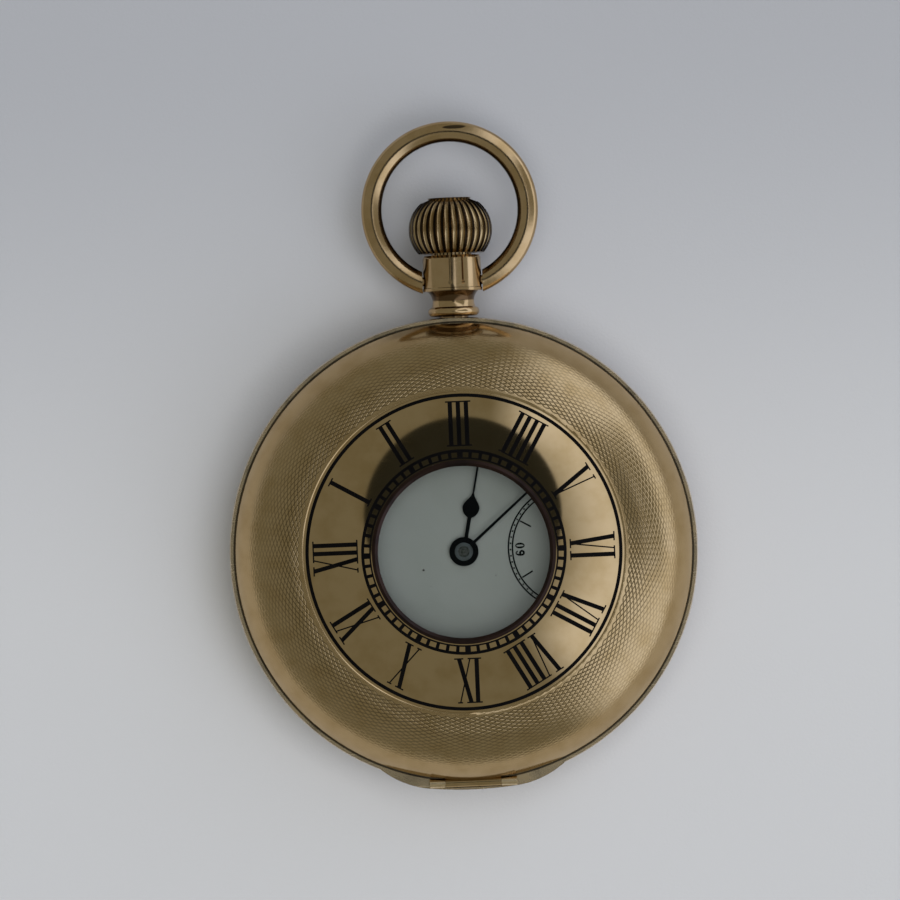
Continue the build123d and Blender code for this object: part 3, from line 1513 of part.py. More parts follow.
ratchet_tip = winding_module * (ratchet_teeth / 2 + addendum_share)
click_beak = polar(ratchet_tip + recess_gap / 2 + click_nose, click_bearing - click_swing, barrel_at)
with BuildPart() as click:
    add(tapered_arm(click_at, click_radius, click_beak, click_nose, z_bridge, winding_wheel_thick))
    add(disc(screw_shank + running_gap, z_bridge, winding_wheel_thick, click_at), mode=Mode.SUBTRACT)
save(click.part, "click")

# Screws
def screw(centre, head_radius, z_seat, shank_radius, depth, up=-1):
    """A slotted screw on a seat: its head faces the dial where up is 1 and the back where it is -1."""
    head_low = z_seat if up > 0 else z_seat - screw_head_height
    shank_low = z_seat - depth if up > 0 else z_seat
    slot_low = z_seat + screw_head_height / 2 if up > 0 else z_seat - screw_head_height
    with BuildPart() as body:
        add(disc(head_radius, head_low, screw_head_height, centre))
        add(disc(shank_radius, shank_low, depth, centre))
        add(block(2 * head_radius, centre[1] - screw_slot, centre[1] + screw_slot, slot_low,
                  slot_low + screw_head_height / 2, centre[0]), mode=Mode.SUBTRACT)
    return body.part



# Main plate
pinion_reach = winding_module * (winding_teeth / 2 + addendum_share) + slot_margin
slot_end = winding_pinion_start + winding_pinion_length + slot_margin
clutch_end = clutch_start + clutch_length
train_jewels = (third_at, escape_at, pallet_at, balance_at, fourth_at)

with BuildPart() as main_plate:
    add(disc(plate_radius, z_plate, plate_thick))
    add(disc(flange_radius, z_ledge, flange_thick))
    add(ring(plate_radius, plate_radius - dial_seat_width, z_plate_top, motion_room))
    for place_xy in train_jewels:
        add(disc(jewel_radius, z_plate, jewel_thick, place_xy), mode=Mode.SUBTRACT)
        add(disc(2 * pivot_radius, z_plate, plate_thick, place_xy), mode=Mode.SUBTRACT)
    add(disc(cannon_post + end_shake, z_plate, plate_thick), mode=Mode.SUBTRACT)
    add(disc(barrel_pivot + running_gap, z_plate, jewel_thick, barrel_at), mode=Mode.SUBTRACT)
    add(block(2 * pinion_reach, winding_pinion_start - slot_margin, slot_end, z_plate,
              z_stem + pinion_reach), mode=Mode.SUBTRACT)
    add(block(2 * (clutch_radius + slot_margin), clutch_start - crown_travel_in - slot_margin, slot_end,
              z_plate,
              z_stem + clutch_radius + slot_margin), mode=Mode.SUBTRACT)
    for place_xy in (minute_at, setting_at):
        add(disc(arbor_radius, z_plate_top, z_hour_wheel - z_plate_top + wheel_thick, place_xy))
    for place_xy in case_screw_places:
        add(disc(case_screw_shank + running_gap, z_ledge, flange_thick, place_xy), mode=Mode.SUBTRACT)
    for bearing in dial_feet_bearings:
        add(disc(dial_foot + running_gap, z_plate_top - dial_foot_depth, dial_foot_depth + motion_room,
                 polar(dial_feet_radius, bearing)), mode=Mode.SUBTRACT)
    add(disc(screw_shank, z_plate_top - screw_depth / 2, screw_depth / 2, lever_screw_at), mode=Mode.SUBTRACT)
    for place_xy in bridge_screw_places:
        add(disc(screw_shank, z_plate, jewel_thick, place_xy), mode=Mode.SUBTRACT)
save(main_plate.part, "main_plate")

# Bridges and cocks
above_line = list(bridge_line) + [(bridge_line[-1][0], case_radius), (bridge_line[0][0], case_radius)]
below_line = [(x, y - bridge_gap) for x, y in bridge_line[2:]] + list(train_corners)

with BuildPart() as barrel_bridge:
    add(disc(bridge_radius, z_bridge, bridge_thick))
    add(prism(above_line, z_bridge, bridge_thick), mode=Mode.INTERSECT)
    for start, end in barrel_feet:
        add(arc_strip(bridge_radius, bridge_radius - barrel_foot_inner, start, end, z_bridge_in, train_room))
    add(disc(ratchet_tip + recess_gap, z_bridge, recess_depth, barrel_at), mode=Mode.SUBTRACT)
    add(disc(winding_module * (crown_wheel_teeth / 2 + addendum_share) + recess_gap, z_bridge, recess_depth,
             crown_wheel_at), mode=Mode.SUBTRACT)
    add(tapered_arm(click_at, click_radius + click_well, click_beak, click_nose + click_well, z_bridge,
                    recess_depth), mode=Mode.SUBTRACT)
    add(tapered_arm(click_anchor, click_spring_anchor + recess_gap, click_spring_end,
                    recess_gap + click_touch,
                    z_bridge, recess_depth), mode=Mode.SUBTRACT)
    add(disc(barrel_arbor_radius + running_gap, z_bridge, bridge_thick, barrel_at), mode=Mode.SUBTRACT)
    add(block(2 * pinion_reach, winding_pinion_start - slot_margin, slot_end, z_stem - pinion_reach,
              z_bridge_in),
        mode=Mode.SUBTRACT)
    for place_xy in (crown_wheel_at, click_at, click_anchor):
        add(disc(screw_shank, z_well, bridge_thick - recess_depth, place_xy), mode=Mode.SUBTRACT)
    add(disc(jewel_radius, z_bridge, bridge_thick, centre_at), mode=Mode.SUBTRACT)
    for place_xy in bridge_screw_places[:3]:
        add(disc(screw_shank + running_gap, z_bridge, bridge_thick + train_room, place_xy),
            mode=Mode.SUBTRACT)
save(barrel_bridge.part, "barrel_bridge")

with BuildPart() as train_bridge:
    add(disc(bridge_radius, z_bridge, bridge_thick))
    add(prism(below_line, z_bridge, bridge_thick), mode=Mode.INTERSECT)
    for start, end in train_feet:
        add(arc_strip(bridge_radius, bridge_radius - train_foot_inner, start, end, z_bridge_in, train_room))
    add(disc(balance_well, z_bridge, bridge_thick, balance_at), mode=Mode.SUBTRACT)
    for place_xy in (third_at, fourth_at, escape_at):
        add(disc(jewel_radius, z_bridge, bridge_thick, place_xy), mode=Mode.SUBTRACT)
    for place_xy in bridge_screw_places[3:5]:
        add(disc(screw_shank + running_gap, z_bridge, bridge_thick + train_room, place_xy),
            mode=Mode.SUBTRACT)
save(train_bridge.part, "train_bridge")

z_cock = z_bridge - cock_back
z_cock_in = z_cock + cock_thick
cock_root_share = 1.5  # of a foot in from the plate's edge, and of the arm's width at its head
cock_root = polar(cock_foot_inner + cock_root_share * foot_width, sum(cock_foot_bearings) / 2)
with BuildPart() as balance_cock:
    add(arc_strip(bridge_radius, bridge_radius - cock_foot_inner, cock_foot_bearings[0],
                  cock_foot_bearings[1],
                  z_cock, z_plate - z_cock))
    add(tapered_arm(cock_root, cock_root_share * cock_head, balance_at, cock_head, z_cock, cock_thick))
    add(disc(bridge_radius, z_cock, z_plate - z_cock), mode=Mode.INTERSECT)
    add(disc(jewel_radius, z_cock, cock_thick, balance_at), mode=Mode.SUBTRACT)
    add(disc(screw_shank + running_gap, z_cock, z_plate - z_cock, bridge_screw_places[5]), mode=Mode.SUBTRACT)
    add(block(stud_size, stud_at[1] - stud_size / 2, stud_at[1] + stud_size / 2, z_cock_in,
              z_bridge_in - hairspring_rise + hairspring_height, stud_at[0]))
save(balance_cock.part, "balance_cock")

z_pallet_bridge = z_plate - pallet_bridge_lift - pallet_bridge_thick
with BuildPart() as pallet_bridge:
    feet = [polar(pallet_foot_reach, pallet_bearing + side * 90, pallet_at) for side in (-1, 1)]
    add(tapered_arm(feet[0], pallet_foot_radius, feet[1], pallet_foot_radius, z_pallet_bridge,
                    pallet_bridge_thick))
    for foot in feet:
        add(disc(pallet_foot_radius, z_pallet_bridge, z_plate - z_pallet_bridge, foot))
    add(disc(pivot_radius + running_gap, z_pallet_bridge, pallet_bridge_thick, pallet_at), mode=Mode.SUBTRACT)
save(pallet_bridge.part, "pallet_bridge")


def jewels(places, bottom):
    """Pierced jewels, each round its own pivot."""
    with BuildPart() as stones:
        for place_xy in places:
            hole = seconds_arbor if place_xy == fourth_at and bottom > z_bridge_in else pivot_radius
            add(ring(jewel_radius, hole + running_gap, bottom, jewel_thick, place_xy))
    return stones.part


z_lever = z_plate_top + plate_screw_lift
save(jewels(train_jewels, z_plate), "plate_jewels")
with BuildPart() as bridge_jewels:
    add(jewels((centre_at, third_at, fourth_at, escape_at), z_bridge_in - jewel_thick))
    add(jewels((balance_at,), z_cock_in - jewel_thick))
    add(disc(jewel_radius, z_cock, cock_thick - jewel_thick, balance_at))
save(bridge_jewels.part, "bridge_jewels")

with BuildPart() as movement_screws:
    for number, place_xy in enumerate(bridge_screw_places):
        seat = z_cock if number == 5 else z_bridge
        add(screw(place_xy, screw_head, seat, screw_shank, z_plate + jewel_thick - seat))
    for place_xy in (crown_wheel_at, click_at, click_anchor):
        add(screw(place_xy, screw_head, z_bridge, screw_shank, bridge_thick))
    add(screw(lever_screw_at, screw_head, z_lever + lever_thick, screw_shank,
              screw_depth / 2 + plate_screw_lift + lever_thick, up=1))
save(movement_screws.part, "movement_screws")

with BuildPart() as case_screws:
    for place_xy in case_screw_places:
        add(screw(place_xy, case_screw_head, z_ledge + flange_thick, case_screw_shank,
                  flange_thick + ledge_thick,
                  up=1))
save(case_screws.part, "case_screws")

with BuildPart() as click_spring:
    add(tapered_arm(click_anchor, click_spring_width, click_spring_end, click_spring_width, z_bridge,
                    winding_wheel_thick))
    add(disc(click_spring_anchor, z_bridge, winding_wheel_thick, click_anchor))
    add(disc(screw_shank + running_gap, z_bridge, winding_wheel_thick, click_anchor), mode=Mode.SUBTRACT)
save(click_spring.part, "click_spring")

# Lever escapement
with BuildPart() as pallet_fork:
    fork_end = polar(fork_reach, pallet_bearing, pallet_at)
    add(tapered_arm(pallet_at, pallet_hub, fork_end, fork_horn, z_escape, escape_wheel_thick))
    stone_seats = []
    for side in (-1, 1):
        bearing = pallet_bearing + side * stone_angle
        seat = polar(escape_radius + stone_gap + stone_length / 2, bearing, escape_at)
        stone_seats.append((seat, bearing))
        add(tapered_arm(pallet_at, fork_arm, polar(stone_length / 2, bearing, seat), fork_arm, z_escape,
                        escape_wheel_thick))
    with BuildSketch(Plane.XY.offset(z_escape)):
        for seat, bearing in stone_seats:
            with Locations(seat):
                Rectangle(stone_length, stone_width, rotation=bearing)
        with Locations(fork_end):
            Rectangle(2 * fork_horn, fork_slot, rotation=pallet_bearing, align=(Align.MIN, Align.CENTER))
            Rectangle(fork_horn, fork_slot, rotation=pallet_bearing)
    extrude(amount=escape_wheel_thick, mode=Mode.SUBTRACT)
    add(disc(arbor_radius, z_pallet_bridge + pallet_bridge_thick + end_shake,
             pallet_bridge_lift - 2 * end_shake, pallet_at))
    add(disc(pivot_radius, z_pallet_bridge, z_plate + pivot_length - z_pallet_bridge, pallet_at))
save(pallet_fork.part, "pallet_fork")

with BuildPart() as pallet_stones:
    with BuildSketch(Plane.XY.offset(z_escape)):
        for seat, bearing in stone_seats:
            with Locations(seat):
                Rectangle(stone_length, stone_width, rotation=bearing)
    extrude(amount=escape_wheel_thick)
save(pallet_stones.part, "pallet_stones")

# Balance and hairspring
z_rim = z_bridge_in + rim_rise
z_roller = z_bridge_in + roller_rise
with BuildPart() as balance_wheel:
    add(ring(rim_outer, rim_inner, z_rim, rim_thick, balance_at))
    with BuildSketch(Plane.XY.offset(z_bridge_in + balance_arm_rise)):
        with Locations(balance_at):
            Rectangle(2 * rim_inner + rim_outer - rim_inner, balance_arm_width, rotation=pallet_bearing + 90)
            Circle(balance_hub)
    extrude(amount=balance_arm_thick)
    for number in range(balance_screws):
        turn = 360 * number / balance_screws
        with BuildSketch(Plane(origin=polar(rim_outer - end_shake, turn,
                                            balance_at) + (z_rim + rim_thick / 2,),
                               z_dir=polar(1, turn) + (0,))):
            Circle(balance_screw_radius)
        extrude(amount=balance_screw_reach)
    add(disc(arbor_radius, z_cock_in + end_shake, z_plate - z_cock_in - 2 * end_shake, balance_at))
    add(disc(pivot_radius, z_cock_in + end_shake - pivot_length, z_plate - z_cock_in - 2 * end_shake
             + 2 * pivot_length, balance_at))
    add(disc(hairspring_inner, z_bridge_in - hairspring_rise, hairspring_height, balance_at))
    add(disc(roller_radius, z_roller, roller_thick, balance_at))
    add(disc(roller_pin_radius, z_roller, z_escape + escape_wheel_thick - z_roller,
             polar(roller_pin_at, pallet_bearing + 180, balance_at)))
save(balance_wheel.part, "balance_wheel")

hairspring_start = hairspring_inner + hairspring_pitch / 4 + hairspring_thick / 2 + running_gap
save(spiral_ribbon(hairspring_start, hairspring_pitch, hairspring_thick, hairspring_turns, balance_at,
                   z_bridge_in - hairspring_rise, hairspring_height), "hairspring")

with BuildPart() as regulator:
    add(tapered_arm(balance_at, regulator_ring, polar(regulator_tail, cock_bearing, balance_at),
                    regulator_width / 2,
                    z_cock - regulator_thick, regulator_thick))
    add(disc(jewel_radius + end_shake, z_cock - regulator_thick, regulator_thick, balance_at),
        mode=Mode.SUBTRACT)
save(regulator.part, "regulator")

# Keyless work on the stem
def gear_about_y(module, teeth, start, length):
    """A toothed roller on the stem's axis with a tooth toward the back."""
    with BuildPart() as roller:
        with BuildSketch(Plane(origin=(0, start, z_stem), x_dir=(0, 0, -1), z_dir=(0, 1, 0))):
            with BuildLine():
                Polyline(*gear_points(module, teeth, 0), close=True)
            make_face()
        extrude(amount=length)
    return roller.part


def square_hole(start, end):
    """A cutter for the square hole that the stem slides in."""
    side = square_side + square_clearance
    return block(side, start, end, z_stem - side / 2, z_stem + side / 2)


with BuildPart() as winding_pinion:
    add(gear_about_y(winding_module, winding_teeth, winding_pinion_start, winding_pinion_length))
    add(bar_along_y(stem_radius + end_shake, winding_pinion_start,
                    winding_pinion_start + winding_pinion_length),
        mode=Mode.SUBTRACT)
save(winding_pinion.part, "winding_pinion")

with BuildPart() as sliding_pinion:
    groove_start = clutch_start + clutch_length * clutch_groove_share
    add(bar_along_y(clutch_radius, clutch_start, clutch_end))
    with BuildSketch(Plane.XZ.offset(-groove_start)):
        with Locations((0, z_stem)):
            Circle(clutch_radius)
            Circle(clutch_neck, mode=Mode.SUBTRACT)
    extrude(amount=-clutch_length * clutch_groove_share / 2, mode=Mode.SUBTRACT)
    add(square_hole(clutch_start, clutch_end), mode=Mode.SUBTRACT)
save(sliding_pinion.part, "sliding_pinion")

with BuildPart() as winding_stem:
    add(block(square_side, stem_start, square_end, z_stem - square_side / 2, z_stem + square_side / 2))
    add(bar_along_y(stem_radius, square_end, y_crown + crown_grip))
save(winding_stem.part, "winding_stem")

with BuildPart() as setting_lever:
    add(prism(lever_corners, z_lever, lever_thick))
    add(disc(screw_shank + running_gap, z_lever, lever_thick, lever_screw_at), mode=Mode.SUBTRACT)
save(setting_lever.part, "setting_lever")

# Springs of the front cover
z_spring = z_channel + spring_floor_gap


def case_spring(pivot, start, end, window=False):
    """A spring strip bent to the band with an eye for its screw."""
    with BuildPart() as spring:
        add(arc_strip(spring_outer, spring_width, start, end, z_spring, spring_height))
        add(disc(spring_eye_radius, z_spring, spring_eye_thick, pivot))
        add(disc(spring_eye_radius + running_gap, z_spring + spring_eye_thick, spring_height, pivot),
            mode=Mode.SUBTRACT)
        add(disc(spring_screw_radius + running_gap, z_spring, spring_height, pivot), mode=Mode.SUBTRACT)
        if window:
            add(block(stem_window_width, channel_inner, wall_inner_radius, z_stem - stem_window_height / 2,
                      z_stem + stem_window_height / 2, running_gap), mode=Mode.SUBTRACT)
    return spring.part


save(case_spring(spring_places[0], lock_pivot_bearing, lock_end_bearing, True), "lock_spring")
save(case_spring(spring_places[1], lift_screw_bearing, lift_end_bearing), "lift_spring")
with BuildPart() as spring_screws:
    for place_xy in spring_places:
        add(screw(place_xy, spring_screw_head, z_spring + spring_eye_thick, spring_screw_radius,
                  spring_screw_depth + spring_floor_gap + spring_eye_thick, up=1))
save(spring_screws.part, "spring_screws")
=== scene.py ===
"""Looks for the half hunter pocket watch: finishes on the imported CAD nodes, a studio and a camera."""

import logging
import math
from dataclasses import dataclass, field
from enum import Enum

import bpy
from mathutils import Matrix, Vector


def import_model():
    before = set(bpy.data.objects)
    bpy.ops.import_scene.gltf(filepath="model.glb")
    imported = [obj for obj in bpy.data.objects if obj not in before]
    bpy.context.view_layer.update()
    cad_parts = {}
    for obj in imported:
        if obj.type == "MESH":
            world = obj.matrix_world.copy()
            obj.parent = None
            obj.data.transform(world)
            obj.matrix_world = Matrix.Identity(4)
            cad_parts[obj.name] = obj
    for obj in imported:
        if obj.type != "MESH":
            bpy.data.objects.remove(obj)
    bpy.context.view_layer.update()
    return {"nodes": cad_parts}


LOG = logging.getLogger("watch")
MM = 0.001
PER_MM = 1 / MM

Node = bpy.types.Node
Socket = bpy.types.NodeSocket

# A Mix node has several sockets of each name, so they are taken by their number
COLOUR_A, COLOUR_B, COLOUR_OUT = 6, 7, 2
VECTOR_A, VECTOR_B, VECTOR_OUT = 4, 5, 1
SMOOTH = {"interpolation_type": "SMOOTHSTEP"}

# What all finishes share: the noise levels that tone and gloss run between, and the spread of gloss
TONE_LEVELS = (0.35, 0.75)
GLOSS_LEVELS = (0.3, 0.7)
GLOSS_SPREAD = (0.8, 1.25)
# Scratches from wiping: each way's turn in radians and the stretch along it, the stretch across, the levels
SCRATCH_WAYS = ((0.5, 0.12), (-0.9, 0.09))
SCRATCH_ACROSS = 6.0
SCRATCH_LEVELS = (0.66, 0.74)


class Grain(Enum):
    """How a movement part was finished by its maker."""

    STRIPED = "stripes"
    SPOTTED = "spots"
    SPUN = "rings"


def linear(colour: str) -> tuple[float, float, float, float]:
    """Turns an sRGB hex colour into linear RGBA.

    Args:
        colour: Such as "#b5a073".

    Returns:
        Red, green, blue and an alpha of 1.
    """
    parts = [int(colour[i : i + 2], 16) / 255 for i in (1, 3, 5)]
    bent = [p / 12.92 if p <= 0.04045 else ((p + 0.055) / 1.055) ** 2.4 for p in parts]
    return (bent[0], bent[1], bent[2], 1.0)


class Graph:
    """A node tree that nodes are added to, each with its settings and links."""

    def __init__(self, tree: bpy.types.NodeTree) -> None:
        """Clears the tree.

        Args:
            tree: A material's or the world's own.
        """
        self.tree = tree
        self.kept: dict[str, tuple[Node, Node]] = {}
        tree.nodes.clear()

    def add(self, kind: str, *values: object, named: dict | None = None, **settings: object) -> Node:
        """Adds one node.

        Args:
            kind: The node's type without its ShaderNode prefix.
            values: A socket, node or value for each input in order; None leaves one alone.
            named: The same for inputs given by name or number.
            settings: The node's own properties.

        Returns:
            The node, whose first output is used where a node is passed as a value.
        """
        node = self.tree.nodes.new("ShaderNode" + kind)
        for key, value in settings.items():
            setattr(node, key, value)
        for key, value in [*enumerate(values), *(named or {}).items()]:
            if value is None:
                continue
            socket = node.inputs[key]
            if isinstance(value, Node):
                value = value.outputs[0]
            if isinstance(value, Socket):
                self.tree.links.new(value, socket)
            else:
                socket.default_value = value
        return node


@dataclass(frozen=True)
class Place:
    """Where on its piece a finish is worked out, in millimetres from the case's middle.

    The flat point is the one straight below at height 0, the radius is its distance from the middle, and up
    is how far the surface looks up, from -1 to 1.
    """

    point: Node
    x: Socket
    y: Socket
    z: Socket
    flat: Node
    radius: Socket
    up: Socket


@dataclass(frozen=True)
class Finish:
    """A surface's colour and gloss, with the marks that its making and its wear leave."""

    name: str
    colour: str
    worn: str
    rough: float
    metallic: float = 1.0
    mottle_mm: float = 2.5
    grain_mm: float = 0.12
    grain_depth: float = 0.0006
    scratches: float = 0.06

    def material(self) -> bpy.types.Material:
        """Builds the material.

        Returns:
            The material, named for its finish.
        """
        material = bpy.data.materials.new(self.name)
        material.use_nodes = True
        graph = Graph(material.node_tree)
        coords = graph.add("TexCoord")
        point = graph.add("VectorMath", coords.outputs["Object"], operation="SCALE", named={"Scale": PER_MM})
        x, y, z = graph.add("SeparateXYZ", point).outputs
        flat = graph.add("CombineXYZ", x, y)
        radius = graph.add("VectorMath", flat, operation="LENGTH").outputs["Value"]
        up = graph.add("SeparateXYZ", coords.outputs["Normal"]).outputs["Z"]
        graph.add("OutputMaterial", self.shade(graph, Place(point, x, y, z, flat, radius, up)))
        return material

    def shade(self, graph: Graph, place: Place) -> Node:
        """Joins colour, roughness and height into the shader.

        Args:
            graph: The material's graph.
            place: Where on the piece.

        Returns:
            The shader node.
        """
        # Handled metal and enamel: a slow change of tone, a fine grain and hairline scratches two ways
        mottle = graph.add("TexNoise", place.point, named={"Scale": 1 / self.mottle_mm, "Detail": 4.0})
        grain = graph.add("TexNoise", place.point, named={"Scale": 1 / self.grain_mm, "Detail": 3.0})
        scratch = self.hairlines(graph, place)
        worn = graph.add("MapRange", mottle, *TONE_LEVELS, **SMOOTH)
        tone = graph.add("Mix", worn, data_type="RGBA",
                         named={COLOUR_A: linear(self.colour), COLOUR_B: linear(self.worn)})
        colour = self.tint(graph, place, tone.outputs[COLOUR_OUT])
        spread = [self.rough * share for share in GLOSS_SPREAD]
        rough = graph.add("MapRange", mottle, *GLOSS_LEVELS, *spread)
        rough = graph.add("Math", scratch, self.scratches, rough, operation="MULTIPLY_ADD")
        rough = self.gloss(graph, place, rough)
        height = graph.add("Math", scratch, -self.grain_depth, operation="MULTIPLY")
        height = graph.add("Math", grain, self.grain_depth, height, operation="MULTIPLY_ADD")
        height = self.relief(graph, place, height)
        bump = graph.add("Bump", named={"Strength": 1.0, "Distance": MM, "Height": height,
                                        "Normal": self.facing(graph, place)})
        return self.shader(graph, colour, rough, bump)

    def hairlines(self, graph: Graph, place: Place) -> Node:
        """Sparse straight scratches from wiping, along two directions.

        Args:
            graph: The material's graph.
            place: Where on the piece.

        Returns:
            A node that is 1 in a scratch and 0 beside it.
        """
        lines = []
        for turn, along in SCRATCH_WAYS:
            laid = graph.add("Mapping", place.point, vector_type="POINT", named={
                "Rotation": (0.0, 0.0, turn), "Scale": (along, SCRATCH_ACROSS, SCRATCH_ACROSS)})
            noise = graph.add("TexNoise", laid, named={"Scale": 1.0, "Detail": 2.0})
            lines.append(graph.add("MapRange", noise, *SCRATCH_LEVELS, **SMOOTH))
        return graph.add("Math", *lines, operation="MAXIMUM")

    def tint(self, graph: Graph, place: Place, tone: Socket) -> Socket:
        """The colour after what this finish adds to the tone; nothing here."""
        return tone

    def gloss(self, graph: Graph, place: Place, rough: Node) -> Node:
        """The roughness after what this finish adds; nothing here."""
        return rough

    def relief(self, graph: Graph, place: Place, height: Node) -> Node:
        """The height in millimetres after what this finish adds; nothing here."""
        return height

    def facing(self, graph: Graph, place: Place) -> Socket | None:
        """The normal that the bump starts from; None is the mesh's own."""
        return None

    def shader(self, graph: Graph, colour: Socket, rough: Node, bump: Node) -> Node:
        """The shader itself."""
        return graph.add("BsdfPrincipled", named={
            "Base Color": colour, "Roughness": rough, "Metallic": self.metallic, "Normal": bump})


@dataclass(frozen=True)
class EngineTurned(Finish):
    """The front cover: engine turned dome, burnished chapter zone and plain inside.

    Radii, lengths and depths are in millimetres. The cuts are arcs of one circle that stands off the middle
    and is cut again at each of the even steps round, which leaves 0.36 mm between two cuts beside the chapter
    zone.
    """

    dome_start: float = 17.4
    dome_edge: float = 0.15
    dome_fade: float = 19.0
    dome_end: float = 23.4
    outside: tuple[float, float] = (0.05, 0.15)
    centre_throw: float = 6.3
    arc_radius: float = 17.7
    arcs: int = 108
    cut_depth: float = 0.02
    cut_share: float = 0.55
    chapter_end: float = 16.9
    chapter_edge: float = 0.1
    chapter_dome: float = 170.0
    chapter_up: tuple[float, float] = (0.9, 0.95)
    chapter_gloss: float = 0.2
    burnished_grain: float = 0.04
    cut_floor_tint: str = "#3a2c18"
    cut_floor_reach: float = 0.35
    cut_floor_share: float = 0.7

    def zone(self, graph: Graph, place: Place) -> tuple[Node, Node]:
        """Works out the engine turning, once for each material.

        Args:
            graph: The material's graph.
            place: Where on the cover.

        Returns:
            How far the point is in the engine turning, and how deep in a cut.
        """
        if "zone" not in graph.kept:
            start = graph.add("MapRange", place.radius, self.dome_start, self.dome_start + self.dome_edge,
                              **SMOOTH)
            rest = graph.add("MapRange", place.radius, self.dome_fade, self.dome_end, 1.0, 0.0)
            mask = graph.add("Math", start, rest, operation="MULTIPLY")
            outer = graph.add("MapRange", place.up, *self.outside, **SMOOTH)
            mask = graph.add("Math", mask, outer, operation="MULTIPLY")
            graph.kept["zone"] = (mask, self.cells(graph, place))
        return graph.kept["zone"]

    def cells(self, graph: Graph, place: Place) -> Node:
        """Cuts the two crossing families of arcs.

        Args:
            graph: The material's graph.
            place: Where on the cover.

        Returns:
            A node that is 1 on a cut's floor and 0 on the metal left between the cuts.
        """
        bearing = graph.add("Math", place.y, place.x, operation="ARCTAN2")
        square = graph.add("Math", place.radius, 2.0, operation="POWER")
        rise = graph.add("Math", square, self.centre_throw**2 - self.arc_radius**2, operation="ADD")
        run = graph.add("Math", place.radius, 2 * self.centre_throw, operation="MULTIPLY")
        swing = graph.add("Math", graph.add("Math", rise, run, operation="DIVIDE"), operation="ARCCOSINE")
        cuts = []
        for way in ("ADD", "SUBTRACT"):
            turn = graph.add("Math", bearing, swing, operation=way)
            steps = graph.add("Math", turn, self.arcs / math.pi, operation="MULTIPLY")
            away = graph.add("Math", steps, 1.0, operation="PINGPONG")
            cuts.append(graph.add("MapRange", away, self.cut_share, 0.0, **SMOOTH))
        return graph.add("Math", *cuts, operation="MAXIMUM")

    def past_chapter(self, graph: Graph, place: Place, inside: float) -> Node:
        """Steps from a value in the burnished chapter zone to 1 outside it.

        Args:
            graph: The material's graph.
            place: Where on the cover.
            inside: The value in the zone.

        Returns:
            The value's node.
        """
        past = graph.add("MapRange", place.radius, self.chapter_end - self.chapter_edge,
                         self.chapter_end + self.chapter_edge, **SMOOTH)
        return graph.add("MapRange", past, 0.0, 1.0, inside, 1.0)

    def relief(self, graph: Graph, place: Place, height: Node) -> Node:
        """The cuts on the dome; the chapter zone is burnished almost free of grain.

        Args:
            graph: The material's graph.
            place: Where on the cover.
            height: The grain and the scratches.

        Returns:
            The height with the cuts.
        """
        mask, cells = self.zone(graph, place)
        height = graph.add("Math", height, self.past_chapter(graph, place, self.burnished_grain),
                           operation="MULTIPLY")
        cut = graph.add("Math", cells, mask, operation="MULTIPLY")
        return graph.add("Math", cut, -self.cut_depth, height, operation="MULTIPLY_ADD")

    def facing(self, graph: Graph, place: Place) -> Socket | None:
        """The chapter zone's normal from its one shallow dome, as the mesh's facets would show in its mirror.

        Args:
            graph: The material's graph.
            place: Where on the cover.

        Returns:
            That normal in the zone and the mesh's own elsewhere.
        """
        lean = graph.add("VectorMath", place.flat, (1 / self.chapter_dome,) * 3, (0.0, 0.0, 1.0),
                         operation="MULTIPLY_ADD")
        lean = graph.add("VectorTransform", lean, vector_type="NORMAL", convert_from="OBJECT",
                         convert_to="WORLD")
        near = graph.add("MapRange", place.radius, self.chapter_end + self.chapter_edge,
                         self.chapter_end - self.chapter_edge, **SMOOTH)
        top = graph.add("MapRange", place.up, *self.chapter_up, **SMOOTH)
        inside = graph.add("Math", near, top, operation="MULTIPLY")
        own = graph.add("NewGeometry").outputs["Normal"]
        mixed = graph.add("Mix", inside, data_type="VECTOR", named={VECTOR_A: own, VECTOR_B: lean})
        return mixed.outputs[VECTOR_OUT]

    def tint(self, graph: Graph, place: Place, tone: Socket) -> Socket:
        """Darkens the floors of the cuts in the engine turning.

        Args:
            graph: The material's graph.
            place: Where on the cover.
            tone: The gold's colour.

        Returns:
            The colour with the cut floors darkened.
        """
        mask, cells = self.zone(graph, place)
        floor = graph.add("MapRange", cells, self.cut_floor_reach, 1.0, **SMOOTH)
        cut_floor_tint = graph.add("Math", floor, mask, operation="MULTIPLY")
        cut_floor_tint = graph.add("Math", cut_floor_tint, self.cut_floor_share, operation="MULTIPLY")
        mixed = graph.add("Mix", cut_floor_tint, data_type="RGBA", named={COLOUR_A: tone, COLOUR_B: linear(self.cut_floor_tint)})
        return mixed.outputs[COLOUR_OUT]

    def gloss(self, graph: Graph, place: Place, rough: Node) -> Node:
        """The chapter zone is burnished, so it mirrors more sharply than the dome."""
        return graph.add("Math", rough, self.past_chapter(graph, place, self.chapter_gloss),
                         operation="MULTIPLY")


